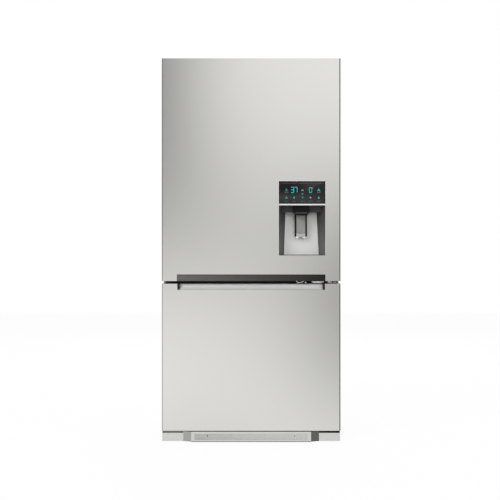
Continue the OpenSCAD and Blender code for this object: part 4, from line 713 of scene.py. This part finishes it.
# Air duct, ceiling console and water filter
# A moulded duct on the back wall lets cold air out at each shelf. The console on the
# ceiling holds a lamp behind a frosted cover and the head in which the filter turns.
dress(liner_plastic, "fridge_duct", edge=0.0014, steps=3)
dress(liner_plastic, "ceiling_console", edge=0.0016, steps=3)
dress(white_plastic, "water_filter", edge=0.0008)
lamp_cover = finish(
    "lamp_cover", 500.0, 0.4, ((0.86, 0.87, 0.87), (0.92, 0.93, 0.93)), (0.4, 0.52),
    Transmission_Weight=0.35)
bm = bmesh.new()
block(bm, (-0.074, -0.12, 1.6096), (0.074, 0.033, 1.6126), 0.0012, 3)
for i in range(12):
    x = -0.066 + i * 0.012
    block(bm, (x - 0.0018, -0.115, 1.6086), (x + 0.0018, 0.028, 1.61), 0.0006)
piece("lamp_lens", bm, lamp_cover, "cabinet")
bm = bmesh.new()
for i in range(5):
    turned(bm, ((0.0258, 0), (0.02625, 0.0008), (0.02625, 0.0022), (0.0258, 0.003)),
           (0.27, -0.06 + i * 0.006, 1.594), BACKWARD, 48)
piece("filter_rings", bm, white_plastic, "water_filter")


# Shelves
# Each shelf is a sheet of tempered glass held in a moulded frame, whose front bar has a
# steel-look strip. The lowest one is the lid of the crispers.
group, given, place = surface_group("level_brushing")
lines = add(group, "VectorMath", {0: place, 1: (3.0, 3.0, 400.0)}, operation="MULTIPLY")
streaks = add(group, "TexNoise", {"Vector": lines.outputs[0], "Scale": given.outputs["Scale"],
                                  "Detail": 4.0, "Roughness": 0.7})
cloud = add(group, "TexNoise", {"Vector": place, "Scale": 2.2, "Detail": 3.0})
mask = add(group, "Mix", {0: 0.35, 2: streaks.outputs[0], 3: cloud.outputs[0]}, data_type="FLOAT")
mask = add(group, "MapRange", {0: mask.outputs[0], 1: 0.28, 2: 0.72})
BRUSHED = close_group(group, mask.outputs[0], streaks.outputs[0], given.outputs["Depth"], 0.00004)

satin_steel = finish(
    "satin_steel", 2.6, 0.16, ((0.7, 0.7, 0.695), (0.76, 0.76, 0.755)), (0.3, 0.4), group=BRUSHED,
    Metallic=0.85)
shelf_glass = finish(
    "shelf_glass", 40.0, 0.02, ((0.86, 0.94, 0.91), (0.9, 0.97, 0.94)), (0.01, 0.03),
    Transmission_Weight=0.95, IOR=1.5)
clear_plastic = finish(
    "clear_plastic", 60.0, 0.05, ((0.86, 0.89, 0.91), (0.91, 0.94, 0.95)), (0.05, 0.1),
    Transmission_Weight=0.9, IOR=1.49)
dress(shelf_glass, "shelf_glass", edge=0.0005)
dress(grey_light, "shelf_trims", edge=0.0015, steps=3)
dress(grey_light, "crisper_frame", edge=0.0012, steps=3)
bm = bmesh.new()
shelf_low, shelf_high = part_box("shelf_trims")
TRIM_TOPS = (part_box("crisper_frame")[1].z, 1.0751, 1.2411, shelf_high.z)
for top in TRIM_TOPS:
    block(bm, (shelf_low.x + 0.004, shelf_low.y - 0.0009, top - 0.01),
          (shelf_high.x - 0.004, shelf_low.y + 0.0006, top - 0.0015), 0.0004)
piece("shelf_strips", bm, satin_steel, "cabinet")


# Crispers
# Two clear drawers hang by their flanges on runners. A handle bar is moulded over the
# opening in each front, and a slide in the cover sets how moist they stay.
grey_plastic = finish(
    "grey_plastic", 1300.0, 0.3, ((0.26, 0.27, 0.28), (0.31, 0.32, 0.33)), (0.36, 0.5))
dress(clear_plastic, "left_crisper", "right_crisper", edge=0.0014, steps=3)
dress(grey_plastic, "humidity_slider", edge=0.0005)
for side in ("left_crisper", "right_crisper"):
    low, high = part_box(side)
    middle = (low.x + high.x) / 2
    bm = bmesh.new()
    block(bm, (middle - 0.068, low.y - 0.006, high.z - 0.0115),
          (middle + 0.068, low.y + 0.0004, high.z - 0.0035), 0.003, 4)
    block(bm, (low.x + 0.01, low.y - 0.0016, high.z - 0.0085),
          (high.x - 0.01, low.y + 0.0004, high.z - 0.003), 0.0006)
    piece(side + "_grip", bm, satin_steel, side)


# Hinges between the doors and on top
# Plated steel brackets are screwed to the cabinet. The middle one carries the fridge door
# on its pin. In front of it lie a flange, a dark block and a stop, and beside it a small
# bright clip and a rivet. The dark block is painted shade beside the flange. The top one has a cap.
bright_plate = finish(
    "bright_plate", 900.0, 0.15, ((0.8, 0.79, 0.77), (0.88, 0.87, 0.85)), (0.16, 0.26),
    Metallic=1.0)
dress(bright_plate, "middle_hinge", "top_hinge", edge=0.0005)
dress(grey_plastic, "top_hinge_cover", edge=0.0012, steps=3)
dress(grey_plastic, "fridge_door_top_cap", edge=0.001)

CAB_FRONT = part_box("cabinet_shell")[0].y
GAP_MIDDLE = (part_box("fridge_door_skin")[0].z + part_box("freezer_front_skin")[1].z) / 2
COVER_HALF = 0.3845
# A dark cover over the divider front; its dark paint partly stands in for the shade in the gap
# between the doors.
bm = bmesh.new()
block(bm, (-COVER_HALF, CAB_FRONT - 0.0004, GAP_MIDDLE - 0.024),
      (COVER_HALF, CAB_FRONT + 0.0006, GAP_MIDDLE + 0.024), 0.0002, 1)
piece("divider_cover", bm, dark_paint_and_gap_shade, "cabinet")
bm = bmesh.new()
for x in (0.289, 0.323):
    turned(bm, ((0, 0), (0.0048, 0), (0.0048, 0.0008), (0.0036, 0.0022),
                (0.0013, 0.0026), (0.001, 0.0012), (0, 0.0012)),
           (x, CAB_FRONT - 0.006, GAP_MIDDLE), FORWARD, 24)
piece("hinge_screws", bm, bright_plate, "cabinet")

LEAN, LEAN_FROM = 0.02, 0.3
FLANGE_Y = CAB_FRONT - 0.0545
BAR_Z = GAP_MIDDLE + 0.0016


def lean_forward(bm):
    """Tips the front faces of a bracket a little, its top and its right end first."""
    for v in bm.verts:
        if v.co.y < FLANGE_Y + 0.004:
            v.co.y -= (v.co.z - BAR_Z) * LEAN + (v.co.x - LEAN_FROM) * LEAN


def strut(bm, start, end, depth, width, extra=0.0):
    """A flat bar between two points of an upright plane, longer than the way by extra."""
    start, end = Vector(start), Vector(end)
    run = end - start
    made = bmesh.ops.create_cube(bm, size=1)["verts"]
    bmesh.ops.scale(bm, vec=(run.length + extra, depth, width), verts=made)
    bmesh.ops.rotate(bm, matrix=Matrix.Rotation(-math.atan2(run.z, run.x), 3, "Y"), verts=made)
    bmesh.ops.translate(bm, vec=(start + end) / 2, verts=made)


# The flange, the web that joins it to the cabinet, and the stop at its end.
bm = bmesh.new()
block(bm, (0.2765, FLANGE_Y, BAR_Z - 0.004), (0.3232, FLANGE_Y + 0.002, BAR_Z + 0.004),
      0.0006, 3)
block(bm, (0.2775, FLANGE_Y + 0.0015, BAR_Z - 0.0012), (0.3515, CAB_FRONT - 0.002, BAR_Z + 0.0012),
      0.0003)
block(bm, (0.3405, FLANGE_Y, BAR_Z - 0.0048), (0.3545, FLANGE_Y + 0.03, BAR_Z + 0.0036),
      0.001, 3)
lean_forward(bm)
piece("hinge_flange", bm, bright_plate, "cabinet")

# A dark block beside the flange: painted shade.
bm = bmesh.new()
block(bm, (0.3236, FLANGE_Y - 0.0006, GAP_MIDDLE - 0.005),
      (0.3396, FLANGE_Y + 0.028, GAP_MIDDLE + 0.005), 0.0012, 3)
piece("hinge_shade_spacer", bm, dark_plastic, "cabinet")

bm = bmesh.new()
CLIP_Y = FLANGE_Y + 0.025
for x0, z0, x1, z1 in ((0.202, 0.0023, 0.207, -0.003), (0.207, -0.003, 0.221, -0.0034),
                       (0.221, -0.0034, 0.2255, -0.0006), (0.2255, -0.0006, 0.233, 0.0023)):
    strut(bm, (x0, CLIP_Y, BAR_Z + z0), (x1, CLIP_Y, BAR_Z + z1), 0.05, 0.0026, 0.0016)
lean_forward(bm)
turned(bm, ((0.0022, 0), (0.0022, 0.049), (0.0044, 0.0492), (0.0044, 0.0506), (0.003, 0.052),
            (0, 0.0524)), (0.242, CAB_FRONT, GAP_MIDDLE - 0.0008), FORWARD, 24)
piece("hinge_clip", bm, bright_plate, "cabinet")

bm = bmesh.new()
top_low, top_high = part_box("top_hinge")
turned(bm, ((0, -0.0004), (0.0078, -0.0004), (0.0078, 0.0001), (0.0072, 0.0004), (0, 0.0004)),
       (top_high.x - 0.015, top_low.y + 0.015, top_high.z), UP)
piece("top_pin_head", bm, zinc_screw, "cabinet")


# Steel fronts
# The face of each door is one sheet of stainless steel, brushed level and lacquered, and
# wrapped round both sides. The drawer's top edge is folded back into a grip.
brushed_steel = finish(
    "brushed_steel", 2.0, 0.1, ((0.785, 0.78, 0.765), (0.815, 0.81, 0.795)), (0.14, 0.18),
    group=BRUSHED, Metallic=1.0)
dress(brushed_steel, "fridge_door_skin", "freezer_front_skin")

grip_paint_lit_and_shaded = finish(
    "grip_paint_lit_and_shaded", 1100.0, 0.12, ((0.64, 0.64, 0.635), (0.68, 0.68, 0.675)), (0.34, 0.42),
    Specular_IOR_Level=0.4)
# Painted light and shade: the grip is darker at its foot and lighter towards its top, a painted
# highlight against the shade of the door above, and a painted shadow line darkens its top edge.
paint_light_and_shade(grip_paint_lit_and_shaded, 2, 0.6735, 0.6985, 0.62, 1.42)
paint_light_and_shade(grip_paint_lit_and_shaded, 2, 0.6986, 0.6994, 1.0, 0.12)
GRIP_HALF = 0.3154
bm = bmesh.new()
folded_sheet(bm, ((-0.3474, 0.6728), (-0.3462, 0.6746), (-0.34, 0.6806), (-0.333, 0.687),
                  (-0.326, 0.6932), (-0.3196, 0.6988), (-0.318, 0.6998), (-0.315, 0.7001),
                  (-0.3112, 0.6996)), GRIP_HALF, 0.0003)
piece("drawer_grip", bm, grip_paint_lit_and_shaded, "freezer_drawer", 30)


# Dark strips, caps and seals
# The handles are pockets: a moulded strip closes the bottom of the fridge door behind its
# lip, and a cap closes the drawer front behind the folded grip. Grey seals are pressed
# into the edge of each inner panel.
strip_plastic_shaded = finish(
    "strip_plastic_shaded", 1500.0, 0.3, ((0.104, 0.101, 0.097), (0.124, 0.119, 0.114)), (0.34, 0.42),
    Specular_IOR_Level=0.3)
# Painted shade: the strip darkens from left to right, as under a lamp on the left, and a painted
# shadow line darkens its top edge.
paint_light_and_shade(strip_plastic_shaded, 0, -0.33, 0.33, 1.0, 0.05)
paint_light_and_shade(strip_plastic_shaded, 2, 0.737, 0.7392, 1.0, 0.15)
cap_plastic = finish(
    "cap_plastic", 1500.0, 0.3, ((0.013, 0.013, 0.014), (0.019, 0.018, 0.019)), (0.36, 0.46),
    Specular_IOR_Level=0.3)
seal_rubber = finish(
    "seal_rubber", 1000.0, 0.35, ((0.1, 0.1, 0.105), (0.13, 0.13, 0.135)), (0.55, 0.7))
dress(strip_plastic_shaded, "pull_strip", edge=0.0006)
dress(cap_plastic, "freezer_front_caps", edge=0.0008)
dress(seal_rubber, "fridge_door_gasket", "freezer_gasket", edge=0.002, steps=3)


# Dispenser recess
# A dark satin housing is clipped into the cut-out, darker towards the back and the top of
# the recess as painted shade. A steel plate lines its back, a steel strip parts it from the
# panel, and a grille lies on its floor. A pale rim round the opening is a painted highlight.
housing_plastic_shaded = finish(
    "housing_plastic_shaded", 1400.0, 0.25, ((0.082, 0.08, 0.081), (0.098, 0.095, 0.095)), (0.36, 0.46),
    Specular_IOR_Level=0.25)
# Painted shade: the housing darkens towards the back of the recess and towards its top.
paint_light_and_shade(housing_plastic_shaded, 1, -0.228, -0.3, 0.22, 1.0)
paint_light_and_shade(housing_plastic_shaded, 2, 1.0, 0.84, 0.68, 1.3)
plate_steel_shaded = finish(
    "plate_steel_shaded", 2.6, 0.12, ((0.92, 0.92, 0.915), (0.98, 0.98, 0.975)), (0.34, 0.44),
    group=BRUSHED, Metallic=0.5)
# Painted shade: the plate darkens a little towards its right end.
paint_light_and_shade(plate_steel_shaded, 0, 0.16, 0.3, 1.0, 0.92)
pale_strip_and_highlight = finish(
    "pale_strip_and_highlight", 900.0, 0.1, ((0.76, 0.76, 0.76), (0.82, 0.82, 0.82)), (0.26, 0.34), Metallic=0.3)
dress(housing_plastic_shaded, "dispenser_housing", edge=0.0008)
dress(plate_steel_shaded, "dispenser_trim", edge=0.0003)
dress(grey_plastic, "drip_grille", edge=0.0005)
low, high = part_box("dispenser_trim")
bm = bmesh.new()
block(bm, (low.x + 0.0028, low.y - 0.0004, high.z - 0.0066),
      (high.x - 0.0028, low.y + 0.0004, high.z - 0.0004), 0.0003)
piece("recess_strip", bm, pale_strip_and_highlight, "fridge_door")
# A pale rim round the opening: a painted highlight on the cut edge of the door.
low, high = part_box("dispenser_housing")
bm = bmesh.new()
for x0, x1 in ((low.x - 0.0026, low.x - 0.0004), (high.x + 0.0004, high.x + 0.0026)):
    block(bm, (x0, FRONT_Y - 0.0005, low.z), (x1, FRONT_Y + 0.0004, high.z + 0.002), 0.0004)
block(bm, (low.x - 0.002, FRONT_Y - 0.0005, high.z + 0.0004),
      (high.x + 0.002, FRONT_Y + 0.0004, high.z + 0.0028), 0.0004)
piece("opening_highlight_rim", bm, pale_strip_and_highlight, "fridge_door")


# Spout and paddle
# A black spout hangs from the head of the recess. Under it swings a grey paddle: a thin
# plate between two rails, which a glass pushes back against a spring.
spout_plastic = finish(
    "spout_plastic", 1200.0, 0.2, ((0.005, 0.005, 0.005), (0.008, 0.008, 0.008)), (0.38, 0.48),
    Specular_IOR_Level=0.12)
paddle_plastic = finish(
    "paddle_plastic", 1200.0, 0.2, ((0.27, 0.265, 0.25), (0.31, 0.3, 0.285)), (0.34, 0.44))
dress(spout_plastic, "dispenser_spout", edge=0.0012, steps=3)
# A lighter band across the spout's lower front: a painted highlight on its lip.
spout_highlight_plastic = finish(
    "spout_highlight_plastic", 1200.0, 0.2, ((0.052, 0.051, 0.05), (0.066, 0.065, 0.064)), (0.32, 0.42))
low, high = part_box("dispenser_spout")
MIDDLE = (low + high) / 2
bm = bmesh.new()
block(bm, (MIDDLE.x - 0.0265, low.y - 0.0005, low.z + 0.008),
      (MIDDLE.x + 0.0265, low.y + 0.001, low.z + 0.0122), 0.0006, 3)
piece("spout_highlight_band", bm, spout_highlight_plastic, "fridge_door")

low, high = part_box("paddle")
MIDDLE = (low + high) / 2
bm = bmesh.new()
for x0, x1 in ((low.x, low.x + 0.0068), (high.x - 0.0068, high.x)):
    block(bm, (x0, low.y, low.z + 0.0035), (x1, high.y, high.z), 0.0016, 3)
rails = piece("paddle_rails", bm, spout_plastic, "paddle")
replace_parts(rails, "paddle")


def thin_plate(bm, rows, thickness, place):
    """A thin plate, each point placed by how far it lies across (-1 to 1) and down (0 to 1)."""
    for v in bmesh.ops.create_grid(bm, x_segments=14, y_segments=rows, size=0.5)["verts"]:
        v.co = place(v.co.x * 2, 0.5 - v.co.y)
    bmesh.ops.recalc_face_normals(bm, faces=bm.faces)
    bmesh.ops.solidify(bm, geom=bm.faces[:], thickness=thickness)


bm = bmesh.new()
thin_plate(bm, 24, 0.0018, lambda across, down: (
    MIDDLE.x + across * 0.021, MIDDLE.y - 0.0006, high.z - 0.006 - down * 0.086))
plate = piece("paddle_plate", bm, paddle_plastic, "paddle", 50)
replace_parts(plate, "paddle")
# The paddle's curled lip is a lighter copy of its plastic: a painted highlight where the curl
# catches the light.
paddle_lip_highlight = finish(
    "paddle_lip_highlight", 1200.0, 0.2, ((0.4, 0.395, 0.385), (0.46, 0.455, 0.445)), (0.3, 0.4))
bm = bmesh.new()
thin_plate(bm, 6, 0.0016, lambda across, down: (
    MIDDLE.x + across * 0.0212, MIDDLE.y - 0.0012 - 0.0024 * down * down,
    low.z + 0.017 - down * (0.0118 + 0.0044 * (1 - across * across))))
piece("paddle_lip", bm, paddle_lip_highlight, "paddle", 50)
# Near-white pads under the rails' ends: painted glints.
pad_glint_white = finish(
    "pad_glint_white", 1200.0, 0.1, ((0.9, 0.9, 0.89), (0.95, 0.95, 0.94)), (0.24, 0.32))
bm = bmesh.new()
for x in (low.x + 0.0115, high.x - 0.0115):
    block(bm, (x - 0.0056, MIDDLE.y - 0.0062, low.z - 0.005),
          (x + 0.0056, MIDDLE.y - 0.001, low.z + 0.0022), 0.0022, 4)
piece("paddle_glint_pads", bm, pad_glint_white, "paddle")


# Control panel
# A plate of black glass is stuck to the housing above the recess. Numbers and signs in
# blue-green light show through it, over printed dashes, and it is switched by touch.
panel_glass = finish(
    "panel_glass", 300.0, 0, ((0.006, 0.0055, 0.006), (0.009, 0.008, 0.009)), (0.16, 0.2),
    Specular_IOR_Level=0.55)
low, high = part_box("control_panel")
PANEL_Y = low.y + 0.0003
SIGN_Y, SIGN_DEPTH = PANEL_Y - 0.00004, 0.00012
bm = bmesh.new()
cube(bm, (low.x, PANEL_Y, low.z), high)
corners = [e for e in bm.edges if abs(e.verts[0].co.y - e.verts[1].co.y) > 0.001
           and (e.verts[0].co.z + e.verts[1].co.z) / 2 > (high.z + low.z) / 2]
bmesh.ops.bevel(bm, geom=corners, offset=0.004, segments=6, profile=0.5, affect="EDGES",
                material=-1)
front = [e for e in bm.edges if all(v.co.y < PANEL_Y + 0.0001 for v in e.verts)]
bmesh.ops.bevel(bm, geom=front, offset=0.0005, segments=2, profile=0.5, affect="EDGES",
                material=-1)
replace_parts(piece("panel_plate", bm, panel_glass, "fridge_door"),
            "control_panel")


def bar(bm, start, end, width):
    """A flat bar of a sign between two points (x, z) of the panel."""
    strut(bm, (start[0], SIGN_Y, start[1]), (end[0], SIGN_Y, end[1]), SIGN_DEPTH, width)


def trace(bm, spots, width):
    """A line of bars from spot to spot."""
    for pair in zip(spots, spots[1:]):
        bar(bm, *pair, width)


def ring(bm, x, z, radius, width, start=0.0, turn=math.tau):
    """A round line of a sign, whole or in part."""
    steps = max(8, int(20 * turn / math.tau))
    spots = [(x + radius * math.cos(start + turn * i / steps),
              z + radius * math.sin(start + turn * i / steps)) for i in range(steps + 1)]
    trace(bm, spots, width)


def drop(bm, x, z, size, lean=0.0):
    """A filled drop, point up or leaning over."""
    made = bmesh.ops.create_circle(bm, segments=18, radius=size * 0.5, cap_ends=True)["verts"]
    for v in made:
        v.co.y *= 1.0 + max(0, v.co.y / size) * 2.2
        v.co.x *= 1.0 - max(0, v.co.y / size) * 0.9
    bmesh.ops.rotate(bm, matrix=Matrix.Rotation(math.radians(90), 3, "X"), verts=made)
    bmesh.ops.rotate(bm, matrix=Matrix.Rotation(lean, 3, "Y"), verts=made)
    bmesh.ops.translate(bm, vec=(x, PANEL_Y - 0.0001, z - size * 0.2), verts=made)


SEGMENTS = {"0": "abcdef", "3": "abcdg", "7": "abc"}


def digit(bm, x, z, height, number):
    """A number in seven bars, of which it lights its own."""
    w, h, t = height * 0.25, height / 2, height * 0.13
    gap = t * 0.4
    lines = {"a": ((-w, h), (w, h)), "g": ((-w, 0), (w, 0)), "d": ((-w, -h), (w, -h)),
             "b": ((w, h - gap), (w, gap)), "c": ((w, -gap), (w, gap - h)),
             "f": ((-w, h - gap), (-w, gap)), "e": ((-w, -gap), (-w, gap - h))}
    for name in SEGMENTS[number]:
        (x0, z0), (x1, z1) = lines[name]
        bar(bm, (x + x0, z + z0), (x + x1, z + z1), t)


def light(name, dim, bright, strength):
    """A sign's light, a little uneven as behind a diffuser."""
    made = finish(name, 900.0, 0, (dim, bright), (0.3, 0.4), Emission_Strength=strength)
    tree, shader, colour = coloured(made)
    tree.links.new(colour, shader.inputs["Emission Color"])
    return made


teal_light = light("teal_light", (0.015, 0.33, 0.34), (0.03, 0.43, 0.43), 0.52)
soft_teal_light = light("soft_teal_light", (0.02, 0.26, 0.23), (0.03, 0.34, 0.3), 0.5)
pale_light = light("pale_light", (0.2, 0.3, 0.36), (0.28, 0.4, 0.44), 0.5)
print_ink = finish("print_ink", 900.0, 0, ((0.22, 0.22, 0.225), (0.27, 0.27, 0.275)), (0.4, 0.5))
# Five columns of signs stand across the panel, in two rows and a little between them.
COLUMNS = (0.1561, 0.1896, 0.2267, 0.2624, 0.2986)
HIGH_ROW, CLOCK_Z, LOW_ROW, DASH_Z = 1.1142, 1.0965, 1.0807, 1.0644
bm = bmesh.new()
digit(bm, COLUMNS[1] - 0.0072, 1.1145, 0.0235, "3")
digit(bm, COLUMNS[1] + 0.0078, 1.1145, 0.0235, "7")
drop(bm, COLUMNS[1], LOW_ROW, 0.0062)
piece("panel_numbers", bm, teal_light, "fridge_door")
bm = bmesh.new()
digit(bm, COLUMNS[3], 1.1135, 0.0215, "0")
ring(bm, COLUMNS[3] + 0.0092, 1.1228, 0.0016, 0.0009)
# Crushed ice as rings, ice cubes as squares, and water as drops.
for x, z in ((-0.003, -0.0022), (0.003, -0.0022), (0, 0.0034)):
    ring(bm, COLUMNS[0] + x, LOW_ROW + z, 0.0022, 0.0011)
for x, z in ((-0.0034, -0.003), (0.0034, -0.003), (0, 0.0036)):
    trace(bm, [(COLUMNS[0] + x + a * 0.0024, HIGH_ROW + z + b * 0.0024)
               for a, b in ((-1, -1), (1, -1), (1, 1), (-1, 1), (-1, -1))], 0.0009)
for i in range(3):
    lean = math.tau * i / 3
    drop(bm, COLUMNS[4] + 0.0036 * math.sin(lean), HIGH_ROW + 0.0036 * math.cos(lean), 0.005, lean)
# A clock, a padlock and a lamp.
ring(bm, COLUMNS[2], CLOCK_Z, 0.003, 0.0011)
bar(bm, (COLUMNS[2], CLOCK_Z), (COLUMNS[2], CLOCK_Z + 0.0023), 0.0009)
bar(bm, (COLUMNS[2], CLOCK_Z), (COLUMNS[2] + 0.0016, CLOCK_Z), 0.0009)
bar(bm, (COLUMNS[4] - 0.0034, 1.0787), (COLUMNS[4] + 0.0034, 1.0787), 0.0054)
ring(bm, COLUMNS[4], 1.0817, 0.0024, 0.0011, 0, math.pi)
ring(bm, COLUMNS[2], 1.0822, 0.003, 0.0011)
bar(bm, (COLUMNS[2] - 0.0014, 1.0778), (COLUMNS[2] + 0.0014, 1.0778), 0.0014)
piece("panel_signs", bm, soft_teal_light, "fridge_door")
# A star for the freezer, and two rings.
bm = bmesh.new()
for i in range(3):
    dx, dz = 0.0044 * math.cos(math.pi * i / 3), 0.0044 * math.sin(math.pi * i / 3)
    bar(bm, (COLUMNS[3] - dx, LOW_ROW - dz), (COLUMNS[3] + dx, LOW_ROW + dz), 0.001)
for i in range(2):
    ring(bm, COLUMNS[2] - 0.0022 + 0.0044 * i, 1.1125, 0.0026, 0.001)
piece("panel_pale_signs", bm, pale_light, "fridge_door")
# Printed dashes under each column, two longer ones, and a thin line above all.
bm = bmesh.new()
for x in COLUMNS:
    for start, run in ((-0.008, 0.006), (-0.0005, 0.0045), (0.0055, 0.003)):
        bar(bm, (x + start, DASH_Z), (x + start + run, DASH_Z), 0.0009)
for x in (COLUMNS[0], COLUMNS[4]):
    bar(bm, (x - 0.0075, 1.1023), (x + 0.007, 1.1023), 0.0014)
bar(bm, (0.13, 1.1432), (0.32, 1.1432), 0.0004)
piece("panel_print", bm, print_ink, "fridge_door")


# Ice box
# The icemaker's box hangs inside the door: a white moulded case with a clipped cover, a
# mould of two rows of cubes, a clear bin, and the steel auger that pushes the ice out.
dress(liner_plastic, "ice_box", edge=0.0016, steps=3)
dress(clear_plastic, "ice_bin", edge=0.0012, steps=3)
dress(satin_steel, "ice_auger")
low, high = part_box("ice_box")
bm = bmesh.new()
block(bm, (low.x + 0.09, high.y - 0.002, high.z - 0.033),
      (high.x - 0.09, high.y + 0.003, high.z - 0.017), 0.002, 3)
for i in range(6):
    z = low.z + 0.03 + i * 0.008
    block(bm, (low.x + 0.05, high.y - 0.0005, z), (high.x - 0.05, high.y + 0.0012, z + 0.0034),
          0.0006)
piece("ice_box_latch", bm, grey_light, "fridge_door")


# Door bins
# Clear moulded bins hook on the door's liner. Each has a steel-look bar along its front,
# and the top one a hinged lid.
dress(clear_plastic, "door_bins", edge=0.0014, steps=3)
dress(clear_plastic, "dairy_lid", edge=0.0006)
low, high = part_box("door_bins")
bm = bmesh.new()
for right, top in ((high.x, 0.887), (high.x, 1.077), (0.049, 1.294)):
    block(bm, (low.x + 0.003, high.y - 0.0004, top - 0.016),
          (right - 0.003, high.y + 0.0012, top - 0.005), 0.0005)
piece("bin_bars", bm, satin_steel, "fridge_door")


# Freezer drawer inside
# Zinc-plated slides run on balls between the liner and the arms of the drawer front. A
# clear basket hangs between the arms, with a sliding tray over it.
dress(zinc_sheet, "drawer_rails", "slide_middles", "fixed_rails", edge=0.0003)
dress(clear_plastic, "freezer_bin", edge=0.0016, steps=3)
dress(clear_plastic, "freezer_tray", edge=0.0014, steps=3)


low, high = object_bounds()
